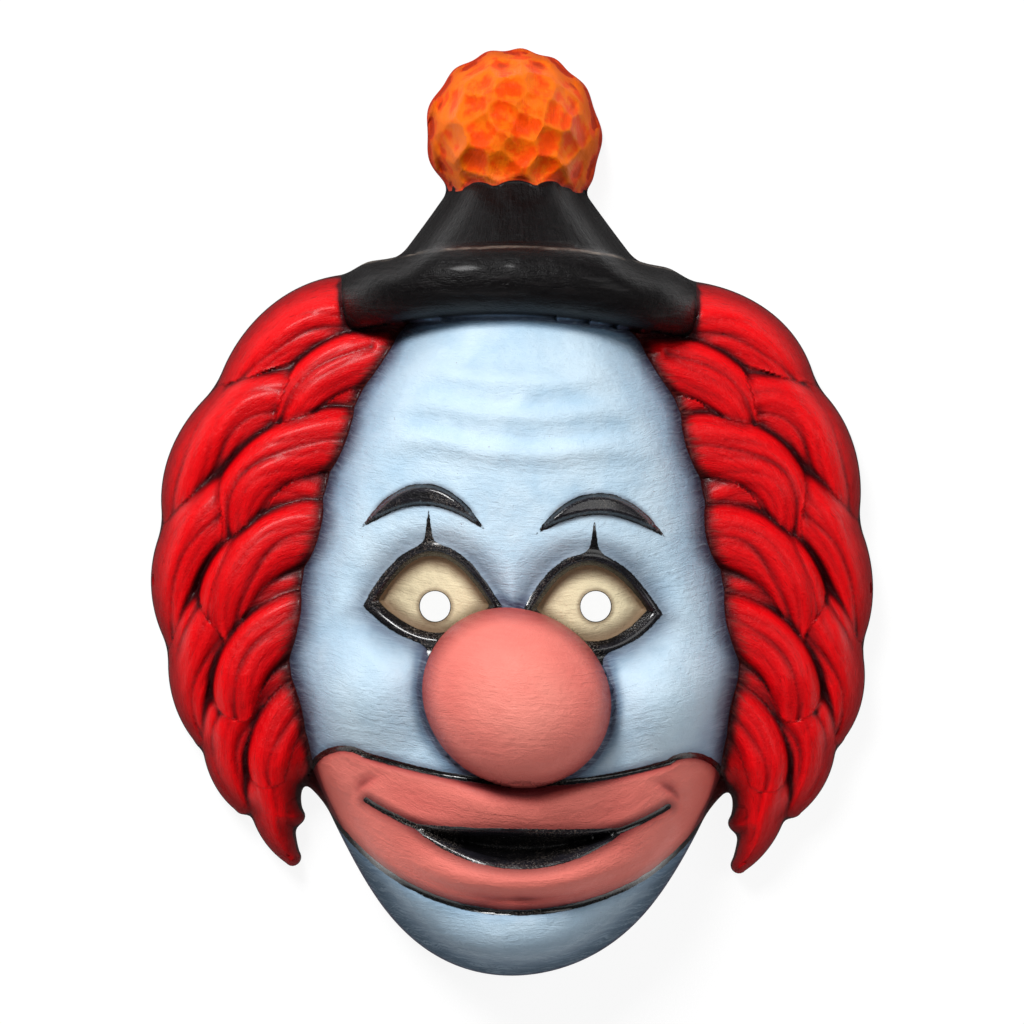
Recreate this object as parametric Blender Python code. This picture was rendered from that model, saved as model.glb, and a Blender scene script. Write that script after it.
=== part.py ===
"""A clown mask: one thin moulded shell, open behind, that lies face up on its flat rim.

Sizes are in metres. The face looks up along +Z and its hat points along +Y. The sculpting functions
below measure x from the middle of the face, y from the line of the eyes and z from the rim.
"""

import math

import bmesh
import bpy
import numpy as np
from mathutils import Matrix, Vector
from mathutils.geometry import delaunay_2d_cdt

# Face: an egg whose chin and hidden top lie this far from the line of the eyes
FACE_WIDTH = 0.184
EYES_TO_CHIN = 0.150
EYES_TO_FACE_TOP = 0.134
FACE_DEPTH = 0.084

# Eyes
EYE_SPACING = 0.063
EYE_HOLE_DIAMETER = 0.012
EYE_WIDTH = 0.044
EYE_HEIGHT = 0.030
EYE_RECESS = 0.0035
EYEBALL_BULGE = 0.0045
LID_RISE = 0.003
LID_WIDTH = 0.0026
SOCKET_DEPTH = 0.009
SOCKET_REACH = 0.018

# Brows and forehead
BROW_LENGTH = 0.050
BROW_THICKNESS = 0.0085
BROW_ABOVE_EYES = 0.042
BROW_RISE = 0.0035
FOREHEAD_FOLD_RISE = 0.0030
FOREHEAD_FOLD_WIDTH = 0.0048

# Nose and cheeks
NOSE_WIDTH = 0.074
NOSE_HEIGHT = 0.069
NOSE_BELOW_EYES = 0.035
NOSE_BALL_CENTRE = 0.080
NOSE_BALL_REACH = 0.036
CHEEK_RADIUS = 0.030
CHEEK_RISE = 0.012

# Mouth: every curve of it is an arc about one centre above the nose
SMILE_RADIUS = 0.122
SMILE_BELOW_EYES = 0.094
SMILE_HALF_ANGLE = math.radians(34)
PATCH_THICKNESS = 0.052
PATCH_END_THICKNESS = 0.030
PATCH_RISE = 0.0022
MOUTH_HALF_ANGLE = math.radians(19)
MOUTH_OPENING = 0.014
MOUTH_DEPTH = 0.010
LIP_RISE = 0.0065
GROOVE_WIDTH = 0.002
GROOVE_DEPTH = 0.002
CHIN_RISE = 0.009
CHIN_HEIGHT = 0.042

# Hair
HAIR_SPREAD = 0.291
HAIR_TOP = 0.112
HAIR_BOTTOM = 0.104
HAIR_MASS_SPREAD = 0.248
LOCK_WIDTH = 0.036
LOCK_BASE = 0.020
LOCK_RISE = 0.017
FRONT_LOCK_LIFT = 0.009
HAIR_SKIRT = 0.006

# Hat and pompom
BRIM_WIDTH = 0.142
BRIM_THICKNESS = 0.027
BRIM_ABOVE_EYES = 0.128
BRIM_DROOP = 0.006
BRIM_DEPTH = 0.064
CROWN_WIDTH = 0.112
CROWN_HEIGHT = 0.060
CROWN_DEPTH = 0.066
CROWN_TIP_WIDTH = 0.026
POMPOM_DIAMETER = 0.070
POMPOM_ABOVE_EYES = 0.189
POMPOM_CENTRE_DEPTH = 0.013
POMPOM_DIMPLE_DEPTH = 0.0030
POMPOM_DIMPLES = 120
POMPOM_EDGE_BUMPS = 13

# Shell, and how wide the slope is at the edge of a raised or sunk form
WALL = 0.002
SLOPE = 0.002
EDGE_ROUNDING = 0.015
NOTCH_FILLET = 0.004
BLEND = 0.005

# Holes for an elastic band, one in each side
STRAP_HOLE_DIAMETER = 0.005
STRAP_HOLE_HEIGHT = 0.012

# How much the left half of the hand-made form differs from the right
HAND_WARP = 0.0014
HAND_WAVE_LONG = 0.034
HAND_WAVE_SHORT = 0.022

# Mesh
OUTLINE_STEP = 0.0025
OUTER_PITCH = 0.0026
INNER_PITCH = 0.0034
RING_DISTANCES = (0.00015, 0.0006, 0.0015, 0.003, 0.0055, 0.0085)
SHELL_TRIANGLES = 10200
TRIMMED_SKIRT = 0.004

# Each row is one level of the face, from the chin to the hidden top:
# height as a share of the egg, then its width and depth as shares of the plain egg there
FACE_SECTIONS = [
    # height, width, depth
    (0.00, 1.00, 1.00),
    (0.15, 0.97, 0.99),
    (0.30, 1.00, 0.96),
    (0.45, 1.04, 0.97),
    (0.58, 0.97, 1.00),
    (0.72, 0.95, 1.03),
    (0.88, 0.98, 1.02),
    (1.00, 1.00, 1.00),
]

# Each row is one fold across the forehead: its height as a share of the brows' and its reach to each
# side as a share of half of the face's width
FOREHEAD_FOLDS = [
    # height, reach
    (1.42, 0.66),
    (1.76, 0.60),
    (2.08, 0.48),
]

# Each row is one lock of hair on the right side, from the hat down. Heights are shares of HAIR_TOP
# above the eyes and of HAIR_BOTTOM below them, the tip's reach is a share of half of HAIR_SPREAD, the
# bulge is how far the lock bows up and outwards as a share of its length, the width is a share of
# LOCK_WIDTH, the rise of LOCK_RISE and the lift of FRONT_LOCK_LIFT
HAIR_LOCKS = [
    # root height, tip height, tip reach, bulge, width, rise, lift
    (0.98, 0.50, 0.780, 0.30, 1.06, 0.85, 0.0),
    (0.72, 0.16, 0.885, 0.31, 1.12, 1.00, 0.0),
    (0.40, -0.16, 0.918, 0.29, 1.12, 1.08, 0.0),
    (0.06, -0.50, 0.870, 0.28, 1.08, 1.00, 0.0),
    (-0.24, -0.78, 0.760, 0.26, 0.98, 0.90, 0.0),
    (-0.46, -1.00, 0.620, 0.22, 0.80, 0.75, 0.0),
    (0.86, 0.40, 0.600, 0.30, 0.92, 0.70, 0.9),
    (0.58, 0.02, 0.700, 0.33, 1.00, 0.80, 1.0),
    (0.26, -0.30, 0.735, 0.31, 1.00, 0.85, 1.0),
    (-0.06, -0.60, 0.700, 0.28, 0.94, 0.80, 0.9),
    (-0.36, -0.84, 0.610, 0.24, 0.80, 0.65, 0.7),
]

# The colour of the painted shell, as linear RGB
SHELL_COLOUR = (0.56, 0.70, 0.82, 1.0)
SHELL_ROUGHNESS = 0.42


# Small functions that every form uses

def arch(share, power):
    """1 in the middle of a span, and 0 with a steep end at both its ends, where share is -1 and 1."""
    return np.maximum(1 - np.abs(share) ** power, 0) ** (1 / power)


def ramp(value, start, end):
    """0 before start, 1 after end, and a smooth step between them."""
    share = np.clip((value - start) / (end - start), 0, 1)
    return share * share * (3 - 2 * share)


def hump(distance, width):
    """1 at distance 0, falling smoothly to about nothing at twice the width."""
    return np.exp(-((distance / width) ** 2))


def blended_max(first, second, blend):
    """The higher of two heights, with a fillet of about this size where they cross."""
    near = np.maximum(blend - np.abs(first - second), 0) / blend
    return np.maximum(first, second) + near * near * blend / 4


def blended_min(first, second, blend):
    return -blended_max(-first, -second, blend)


def ellipse_distance(x, y, half_width, half_height):
    """About the signed distance to an ellipse about the origin, below 0 inside it."""
    reach = np.hypot(x / half_width, y / half_height)
    slope = np.hypot(x / half_width**2, y / half_height**2)
    return np.where(slope > 1e-6, reach * (reach - 1) / np.maximum(slope, 1e-6), -half_width)


def from_table(rows, column, share):
    """A column of a table of sections at these shares of its first column, on a smooth curve."""
    table = np.array(rows)
    knots, values = table[:, 0], table[:, column]
    slopes = np.gradient(values, knots)
    share = np.clip(share, knots[0], knots[-1])
    row = np.clip(np.searchsorted(knots, share, side="right") - 1, 0, len(knots) - 2)
    span = knots[row + 1] - knots[row]
    t = (share - knots[row]) / span
    return (
        (1 + 2 * t) * (1 - t) ** 2 * values[row]
        + t * (1 - t) ** 2 * span * slopes[row]
        + t * t * (3 - 2 * t) * values[row + 1]
        - t * t * (1 - t) * span * slopes[row + 1]
    )


# Face

FACE_HALF_HEIGHT = (EYES_TO_CHIN + EYES_TO_FACE_TOP) / 2
FACE_MIDDLE = (EYES_TO_FACE_TOP - EYES_TO_CHIN) / 2
DEPTH_POWER = 2.8
SECTION_POWER = 2.3


def face_share(y):
    """-1 at the chin and 1 at the hidden top."""
    return (y - FACE_MIDDLE) / FACE_HALF_HEIGHT


def face_half_width(y):
    share = face_share(y)
    egg = np.sqrt(np.maximum(1 - share**2, 0))
    return FACE_WIDTH / 2 * egg * from_table(FACE_SECTIONS, 1, (share + 1) / 2)


def face_distance(x, y):
    width = from_table(FACE_SECTIONS, 1, (face_share(y) + 1) / 2)
    return ellipse_distance(x / width, y - FACE_MIDDLE, FACE_WIDTH / 2, FACE_HALF_HEIGHT)


def face_height(x, y):
    """The plain egg's height, without its relief."""
    share = face_share(y)
    depth = FACE_DEPTH * arch(share, DEPTH_POWER) * from_table(FACE_SECTIONS, 2, (share + 1) / 2)
    return depth * arch(x / np.maximum(face_half_width(y), 1e-6), SECTION_POWER)


# Eyes and brows, drawn on the right half: across runs outwards from the middle of the face

def eye_distance(across, y):
    """About the distance to the edge of the eye's opening, an almond with a round upper lid."""
    share = (across - EYE_SPACING / 2) / (EYE_WIDTH / 2)
    upper = 0.60 * EYE_HEIGHT * (1 - share**2)
    lower = -0.40 * EYE_HEIGHT * (1 - share**2)
    return np.maximum(y - upper, lower - y) / np.sqrt(1 + (EYE_HEIGHT / EYE_WIDTH * 2 * share) ** 2)


def brow_line(across):
    """The height of the brow's middle line, an arc that is highest a little outside the eye."""
    share = (across - 1.12 * EYE_SPACING / 2) / (BROW_LENGTH / 2)
    return BROW_ABOVE_EYES - 0.26 * BROW_LENGTH * share**2


def brow_distance(across, y):
    """About the distance to the brow's edge: thick in the middle and pointed at both ends."""
    share = (across - 1.12 * EYE_SPACING / 2) / (BROW_LENGTH / 2)
    slope = np.sqrt(1 + (1.04 * share) ** 2)
    return np.abs(y - brow_line(across)) / slope - BROW_THICKNESS / 2 * (1 - share**2)


def eye_relief(across, y):
    socket = ellipse_distance(across - EYE_SPACING / 2, y, 1.6 * EYE_WIDTH / 2, 1.9 * EYE_HEIGHT / 2)
    edge = eye_distance(across, y)
    ball = np.hypot(across - EYE_SPACING / 2, y) / (0.55 * EYE_WIDTH)
    return (
        -SOCKET_DEPTH * ramp(-socket, -0.22 * SOCKET_REACH, SOCKET_REACH)
        + LID_RISE * hump(edge - 1.08 * LID_WIDTH, LID_WIDTH)
        + ramp(-edge, 0, 0.75 * SLOPE) * (EYEBALL_BULGE * (1 - np.minimum(ball, 1) ** 2) - EYE_RECESS)
    )


def forehead_relief(across, y):
    brow = BROW_RISE * ramp(-brow_distance(across, y), 0, SLOPE)
    folds = 0
    for height, reach in FOREHEAD_FOLDS:
        line = BROW_ABOVE_EYES * (height + 0.10 * np.sin(math.pi * (across / EYE_SPACING - 0.1)) ** 2)
        fade = ramp(-across, -reach * FACE_WIDTH / 2, -0.55 * reach * FACE_WIDTH / 2)
        folds = folds + FOREHEAD_FOLD_RISE * hump(y - line, FOREHEAD_FOLD_WIDTH) * fade
    return brow + folds


# Nose, cheeks and chin

def nose_distance(x, y):
    return ellipse_distance(x, y + NOSE_BELOW_EYES, NOSE_WIDTH / 2, NOSE_HEIGHT / 2)


def nose_height(x, y):
    reach = np.hypot(x / (NOSE_WIDTH / 2), (y + NOSE_BELOW_EYES) / (NOSE_HEIGHT / 2))
    ball = NOSE_BALL_CENTRE + NOSE_BALL_REACH * np.sqrt(np.maximum(1 - reach**2, 0))
    return np.where(reach < 1, ball, 0)


def cheek_relief(across, y):
    away = np.hypot(across - 0.66 * FACE_WIDTH / 2, y + 1.05 * NOSE_BELOW_EYES) / CHEEK_RADIUS
    return CHEEK_RISE * np.maximum(1 - away**2, 0) ** 2


# Mouth, in polar form about the smile's centre: turn is the angle from straight down

SMILE_CENTRE = SMILE_RADIUS - SMILE_BELOW_EYES


def smile_polar(across, y):
    radius = np.hypot(across, y - SMILE_CENTRE)
    return radius - SMILE_RADIUS, np.arctan2(across, SMILE_CENTRE - y)


def patch_distance(across, y):
    """About the distance to the edge of the painted patch: a crescent with round ends."""
    outwards, turn = smile_polar(across, y)
    share = np.minimum(np.abs(turn) / SMILE_HALF_ANGLE, 1)
    half = PATCH_THICKNESS / 2 + (PATCH_END_THICKNESS - PATCH_THICKNESS) / 2 * share**2
    past_end = np.maximum(np.abs(turn) - SMILE_HALF_ANGLE, 0) * SMILE_RADIUS
    return np.hypot(outwards, past_end) - half


def mouth_distance(across, y):
    """About the distance to the edge of the open mouth, a thin crescent with pointed ends."""
    outwards, turn = smile_polar(across, y)
    share = turn / MOUTH_HALF_ANGLE
    return np.abs(outwards) - MOUTH_OPENING / 2 * (1 - share**2)


def mouth_relief(across, y):
    outwards, turn = smile_polar(across, y)
    patch = patch_distance(across, y)
    mouth = mouth_distance(across, y)
    along = ramp(-np.abs(turn), -1.25 * MOUTH_HALF_ANGLE, -0.35 * MOUTH_HALF_ANGLE)
    upper = LIP_RISE * 0.7 * hump(outwards + 1.2 * MOUTH_OPENING, 0.55 * MOUTH_OPENING)
    lower = LIP_RISE * hump(outwards - 1.05 * MOUTH_OPENING, 0.55 * MOUTH_OPENING)
    line = hump(outwards, GROOVE_WIDTH)
    line = line * ramp(-np.abs(turn), -0.88 * SMILE_HALF_ANGLE, -0.84 * SMILE_HALF_ANGLE)
    return (
        PATCH_RISE * ramp(-patch, 0, 2 * SLOPE)
        - 0.8 * GROOVE_DEPTH * hump(patch, GROOVE_WIDTH)
        + along * (upper + lower)
        - GROOVE_DEPTH * line
        - MOUTH_DEPTH * ramp(-mouth, 0, 2.75 * SLOPE)
    )


def chin_relief(x, y):
    middle = -(SMILE_BELOW_EYES + PATCH_THICKNESS / 2 + EYES_TO_CHIN) / 2
    away = np.hypot(x / (0.38 * FACE_WIDTH / 2), (y - middle) / (CHIN_HEIGHT / 2))
    return CHIN_RISE * np.maximum(1 - away**2, 0) ** 1.5


# Hair: each lock is a tapering roll along an arc

TIP_SHARE = 0.24
TIP_RISE_SHARE = 0.35
LOCK_POWER = 1.9


def lock_height_on_face(share):
    return share * (HAIR_TOP if share > 0 else HAIR_BOTTOM)


def lock_arc(row):
    """The arc of one row of HAIR_LOCKS: its centre, radius, first angle and sweep."""
    root_y = lock_height_on_face(row[0])
    root = Vector((0.90 * float(face_half_width(np.array(root_y))), root_y))
    tip = Vector((row[2] * HAIR_SPREAD / 2, lock_height_on_face(row[1])))
    chord = tip - root
    bulge = row[3] * chord.length
    radius = (chord.length**2 / 4 + bulge**2) / (2 * bulge)
    left_of_chord = Vector((-chord.y, chord.x)).normalized()
    centre = (root + tip) / 2 + left_of_chord * (bulge - radius)
    first = math.atan2(root.y - centre.y, root.x - centre.x)
    last = math.atan2(tip.y - centre.y, tip.x - centre.x)
    return centre, radius, first, last - first


LOCK_ARCS = [lock_arc(row) for row in HAIR_LOCKS]


def lock_position(number, across, y):
    """Where a point lies on one lock: the distance from its middle line, its half width there, and
    the share of its length, which is below 0 or above 1 past an end."""
    centre, radius, first, sweep = LOCK_ARCS[number]
    dx, dy = across - centre.x, y - centre.y
    along = (np.arctan2(dy, dx) - first) / sweep
    inside = np.clip(along, 0, 1)
    end_x = centre.x + radius * np.cos(first + inside * sweep)
    end_y = centre.y + radius * np.sin(first + inside * sweep)
    away = np.hypot(across - end_x, y - end_y)
    width = HAIR_LOCKS[number][4] * LOCK_WIDTH / 2 * (1 - (1 - TIP_SHARE) * inside**2)
    return away, width, along


def lock_rise(number, away, width, along):
    """How far a lock stands over the mass: it is a roll that sinks towards its tip."""
    _, _, _, _, _, rise, lift = HAIR_LOCKS[number]
    roll = arch(away / width, LOCK_POWER)
    sunk = TIP_RISE_SHARE + (1 - TIP_RISE_SHARE) * ramp(-along, -1.05, -0.45)
    return sunk * (rise * LOCK_RISE * roll + lift * FRONT_LOCK_LIFT * ramp(roll, 0, 0.9))


def hair_distance(across, y):
    """About the distance to the outline of the hair: the mass behind the face and the locks on it."""
    middle, half = 0.10 * HAIR_TOP, 1.05 * HAIR_TOP
    nearest = ellipse_distance(across, y - middle, HAIR_MASS_SPREAD / 2, half)
    for number in range(len(HAIR_LOCKS)):
        away, width, _ = lock_position(number, across, y)
        nearest = blended_min(nearest, away - width, NOTCH_FILLET)
    return nearest


def hair_height(across, y):
    """The hair's height, which runs out over HAIR_SKIRT past its outline, below the face and the hat."""
    height = LOCK_BASE * ramp(-hair_distance(across, y), -HAIR_SKIRT, 0)
    for number in range(len(HAIR_LOCKS)):
        away, width, along = lock_position(number, across, y)
        lock = LOCK_BASE + lock_rise(number, away, width, along)
        height = np.where(away < width, blended_max(height, lock, BLEND / 2), height)
    return height


# Hat and pompom

def brim_line(across):
    return BRIM_ABOVE_EYES - BRIM_DROOP * (across / (BRIM_WIDTH / 2)) ** 2


def brim_distance(across, y):
    straight = (BRIM_WIDTH - BRIM_THICKNESS) / 2
    past_end = np.maximum(across - straight, 0)
    return np.hypot(past_end, y - brim_line(across)) - BRIM_THICKNESS / 2


def brim_edge_distance(across, y):
    """About the distance to the brim's upper or lower edge, where it steps down to what lies beside it."""
    return np.abs(y - brim_line(across)) - BRIM_THICKNESS / 2


def brim_height(across, y):
    roll = arch((y - brim_line(across)) / (BRIM_THICKNESS / 2), 2)
    round_head = BRIM_DEPTH * arch(across / (1.02 * BRIM_WIDTH / 2), 2.4)
    return np.where(roll > 0, round_head + 0.5 * BRIM_THICKNESS * roll * ramp(round_head, 0, BRIM_THICKNESS), 0)


def crown_half_width(y):
    share = np.clip((y - BRIM_ABOVE_EYES) / CROWN_HEIGHT, 0, 1)
    return CROWN_WIDTH / 2 + (CROWN_TIP_WIDTH - CROWN_WIDTH) / 2 * (1.18 * share - 0.18 * share**2)


def crown_distance(across, y):
    top = y - BRIM_ABOVE_EYES - CROWN_HEIGHT
    hidden_foot = BRIM_ABOVE_EYES - BRIM_THICKNESS - y
    return np.maximum(np.maximum(0.85 * (across - crown_half_width(y)), top), hidden_foot)


def crown_height(across, y):
    width = crown_half_width(y)
    depth = CROWN_DEPTH * (0.25 + 0.75 * width / (CROWN_WIDTH / 2))
    shown = (crown_distance(across, y) < 0) & (y > BRIM_ABOVE_EYES)
    return np.where(shown, depth * arch(across / width, 2.1), 0)


def pompom_distance(x, y):
    turn = np.arctan2(x, y - POMPOM_ABOVE_EYES)
    bumps = np.sin(POMPOM_EDGE_BUMPS * turn + 1.5 * np.sin(2 * turn))
    return np.hypot(x, y - POMPOM_ABOVE_EYES) - POMPOM_DIAMETER / 2 - 0.2 * POMPOM_DIMPLE_DEPTH * bumps


def pompom_height(x, y):
    radius = POMPOM_DIAMETER / 2
    ball_x, ball_y = x / radius, (y - POMPOM_ABOVE_EYES) / radius
    ball_z = np.sqrt(np.maximum(1 - ball_x**2 - ball_y**2, 0))
    nearest = np.full(np.shape(ball_x), 2.0)
    golden = math.pi * (3 - math.sqrt(5))
    for number in range(int(0.62 * POMPOM_DIMPLES)):
        up = 1 - (2 * number + 1 + 0.8 * math.sin(5.1 * number)) / POMPOM_DIMPLES
        flat = math.sqrt(1 - up * up)
        turn = golden * number + 0.22 * math.cos(3.7 * number)
        dx = ball_x - flat * math.cos(turn)
        dy = ball_y - flat * math.sin(turn)
        nearest = np.minimum(nearest, np.sqrt(dx**2 + dy**2 + (ball_z - up) ** 2))
    spacing = math.sqrt(4 * math.pi / POMPOM_DIMPLES)
    dimple = 1 - np.minimum(nearest / (0.62 * spacing), 1) ** 2
    reach = 1 - POMPOM_DIMPLE_DEPTH / radius * dimple
    ball = radius * np.sqrt(np.maximum(reach**2 - ball_x**2 - ball_y**2, 0))
    return np.where(pompom_distance(x, y) < 0, POMPOM_CENTRE_DEPTH + ball, 0)


# The whole mask

def hand_made(x, y):
    """Shifts points a little, so that the two halves differ as they do on a form made by hand."""
    long_x, long_y = x / HAND_WAVE_LONG, y / HAND_WAVE_LONG
    short_x = x / HAND_WAVE_SHORT
    shifted_x = x + HAND_WARP * (np.sin(1.1 * long_y + 0.8) + 0.6 * np.sin(0.9 * short_x + 0.8 * long_y))
    shifted_y = y + HAND_WARP * (np.sin(0.9 * long_x) + 0.6 * np.sin(short_x - 0.65 * long_y + 0.4))
    return shifted_x, shifted_y


def outline_distance(x, y):
    """About the distance to the mask's outline as seen from the front, below 0 inside it."""
    x, y = hand_made(x, y)
    across = np.abs(x)
    hat = blended_min(brim_distance(across, y), crown_distance(across, y), NOTCH_FILLET)
    hat = blended_min(hat, pompom_distance(x, y), NOTCH_FILLET)
    head = blended_min(face_distance(x, y), hair_distance(across, y), NOTCH_FILLET)
    return blended_min(head, hat, NOTCH_FILLET)


def trace_outline(step):
    """The mask's outline as a loop of points, from the chin round by its right side."""
    tiny = 1e-6
    start = np.array([0.0, -EYES_TO_CHIN])
    here = start.copy()
    loop = []
    while len(loop) < 20 or np.hypot(*(here - start)) > 0.8 * step:
        for _ in range(3):
            x = here[0] + np.array([0, tiny, 0])
            y = here[1] + np.array([0, 0, tiny])
            value = outline_distance(x, y)
            slope = (value[1:] - value[0]) / tiny
            here = here - value[0] * slope / (slope @ slope)
        if not loop:
            start = here
        loop.append(here)
        here = here + step * np.array([-slope[1], slope[0]]) / np.hypot(*slope)
    return np.array(loop)


def edge_distance(outline, x, y):
    """The distance to the nearest stretch of the outline."""
    nearest = np.full(np.shape(x), np.inf)
    for start, end in zip(outline, np.roll(outline, -1, axis=0)):
        run = end - start
        share = np.clip(((x - start[0]) * run[0] + (y - start[1]) * run[1]) / (run @ run), 0, 1)
        away = (x - start[0] - share * run[0]) ** 2 + (y - start[1] - share * run[1]) ** 2
        nearest = np.minimum(nearest, away)
    return np.sqrt(nearest)


def edge_rise(outline, x, y):
    """The share of its height that the surface has reached: 0 on the outline, 1 past EDGE_ROUNDING."""
    rough = outline_distance(x, y)
    rise = np.where(rough < 0, 1.0, 0.0)
    near = (rough < 0) & (rough > -2 * EDGE_ROUNDING)
    away = edge_distance(outline, x[near], y[near])
    rise[near] = arch(1 - np.minimum(away / EDGE_ROUNDING, 1), 2.2)
    return rise


def front_height(outline, x, y):
    """The height of the outer surface over the rim's plane, 0 outside the outline."""
    rise = edge_rise(outline, x, y)
    x, y = hand_made(x, y)
    across = np.abs(x)
    relief = eye_relief(across, y) + forehead_relief(across, y) + cheek_relief(across, y)
    relief = relief + mouth_relief(across, y) + chin_relief(x, y)
    face = face_height(x, y)
    face = face + relief * ramp(face, 0.15 * FACE_DEPTH, 0.6 * FACE_DEPTH)
    height = blended_max(face, hair_height(across, y), BLEND / 2)
    height = blended_max(height, nose_height(x, y), BLEND / 2)
    height = blended_max(height, brim_height(across, y), BLEND / 3)
    height = blended_max(height, crown_height(across, y), BLEND / 2)
    height = blended_max(height, pompom_height(x, y), BLEND / 3)
    return height * rise


def back_height(outline, x, y):
    """The height of the inner surface, which keeps WALL from the outer one in every direction, and a
    little more from its steepest steps."""
    lowest = front_height(outline, x, y) - WALL
    for reach, drop_share in ((0.5, 0.87), (0.87, 0.5), (1, 0), (1.35, 0.3)):
        drop = WALL * drop_share
        for turn in np.linspace(0, 2 * math.pi, 12, endpoint=False):
            beside = front_height(outline, x + reach * WALL * np.cos(turn), y + reach * WALL * np.sin(turn))
            lowest = np.minimum(lowest, beside - drop)
    return lowest


# Mesh

def moved_inward(outline, distance):
    along = np.roll(outline, -1, axis=0) - np.roll(outline, 1, axis=0)
    along = along / np.hypot(along[:, 0], along[:, 1])[:, None]
    return outline + distance * np.stack([-along[:, 1], along[:, 0]], axis=1)


def points_inside(outline, margin, pitch):
    """Rings of points close to the edge, whose first is margin inside it, then an even lattice."""
    rings = []
    for distance in RING_DISTANCES:
        ring = moved_inward(outline, margin + distance)
        kept = edge_distance(outline, ring[:, 0], ring[:, 1]) > margin + 0.9 * distance
        rings.append(ring[kept])
    row_height = pitch * math.sqrt(3) / 2
    low, high = outline.min(axis=0), outline.max(axis=0)
    rows, columns = np.mgrid[0 : (high[1] - low[1]) / row_height, 0 : (high[0] - low[0]) / pitch]
    x = (low[0] + (columns + rows % 2 / 2) * pitch).ravel()
    y = (low[1] + rows * row_height).ravel()
    inside = outline_distance(x, y) < 0
    x, y = x[inside], y[inside]
    kept = edge_distance(outline, x, y) > margin + RING_DISTANCES[-1] + pitch / 2
    lattice = on_creases(np.stack([x[kept], y[kept]], axis=1), margin, pitch)
    return np.concatenate([*rings, lattice])


def on_creases(points, inset, pitch):
    """Moves the points that lie close to an edge of a raised or sunk form onto it, so that it is sharp.
    The steep edges of the nose and the brim are met a little inside, and the inset deeper."""
    tiny = 1e-6
    steep = -0.0001 - inset
    creases = [(brow_distance, 0), (patch_distance, 0), (eye_distance, 0), (mouth_distance, 0)]
    creases += [(brim_edge_distance, steep), (nose_distance, steep)]
    for distance, level in creases:
        for _ in range(2):
            x, y = points.T
            here, beside, above = (
                distance(np.abs(shifted_x), shifted_y) - level
                for shifted_x, shifted_y in (hand_made(x, y), hand_made(x + tiny, y), hand_made(x, y + tiny))
            )
            slope = np.stack([beside - here, above - here], axis=1) / tiny
            move = -here[:, None] * slope / np.maximum((slope**2).sum(axis=1), 0.1)[:, None]
            points = np.where(np.abs(here)[:, None] < pitch / 2, points + move, points)
    return points


def sheet(loop, points):
    """Triangles over a loop and the points inside it, as seen from above."""
    corners = [Vector(corner) for corner in np.concatenate([loop, points])]
    edges = [(number, (number + 1) % len(loop)) for number in range(len(loop))]
    placed, _, triangles, sources, _, _ = delaunay_2d_cdt(corners, edges, [], 1, 1e-8)
    assert all(source[0] == number for number, source in enumerate(sources))
    return np.array(placed), triangles


def shell_mesh():
    """The closed skin of the mask: its outer sheet, its inner sheet and the rim that joins them."""
    outline = trace_outline(OUTLINE_STEP)
    count = len(outline)
    front, front_triangles = sheet(outline, points_inside(outline, 0, OUTER_PITCH))
    back_loop = moved_inward(outline, WALL)
    back, back_triangles = sheet(back_loop, points_inside(outline, WALL, INNER_PITCH))
    front_z = front_height(outline, front[:, 0], front[:, 1])
    back_z = back_height(outline, back[:, 0], back[:, 1])
    front_z[:count] = -TRIMMED_SKIRT
    back_z[:count] = -TRIMMED_SKIRT
    corners = np.concatenate([np.column_stack([front, front_z]), np.column_stack([back, back_z])])
    first_back = len(front)
    faces = list(front_triangles)
    faces += [[first_back + corner for corner in reversed(triangle)] for triangle in back_triangles]
    for number in range(count):
        after = (number + 1) % count
        faces.append([after, number, first_back + number, first_back + after])
    mesh = bpy.data.meshes.new("mask_shell")
    mesh.from_pydata(corners.tolist(), [], faces)
    return mesh, outline


# Objects

def painted(obj, name, colour, roughness):
    material = bpy.data.materials.new(name)
    material.use_nodes = True
    shader = material.node_tree.nodes["Principled BSDF"]
    shader.inputs["Base Color"].default_value = colour
    shader.inputs["Roughness"].default_value = roughness
    shader.inputs["Metallic"].default_value = 0.0
    obj.data.materials.append(material)


def add_object(name, mesh):
    obj = bpy.data.objects.new(name, mesh)
    bpy.context.scene.collection.objects.link(obj)
    return obj


def cut(obj, name, mesh, matrix):
    """Cuts a closed mesh, placed by a matrix, out of an object."""
    cutter = add_object(name, mesh)
    cutter.matrix_world = matrix
    cutter.hide_render = True
    cutter.display_type = "WIRE"
    boolean = obj.modifiers.new(name, "BOOLEAN")
    boolean.operation = "DIFFERENCE"
    boolean.solver = "EXACT"
    boolean.object = cutter


def drill_mesh(name, diameter, length, sides):
    mesh = bpy.data.meshes.new(name)
    drill = bmesh.new()
    bmesh.ops.create_cone(
        drill,
        cap_ends=True,
        segments=sides,
        radius1=diameter / 2,
        radius2=diameter / 2,
        depth=length,
    )
    drill.to_mesh(mesh)
    drill.free()
    return mesh


def block_mesh(name, size):
    mesh = bpy.data.meshes.new(name)
    block = bmesh.new()
    bmesh.ops.create_cube(block, size=1)
    bmesh.ops.scale(block, vec=size, verts=block.verts)
    block.to_mesh(mesh)
    block.free()
    return mesh


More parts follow.
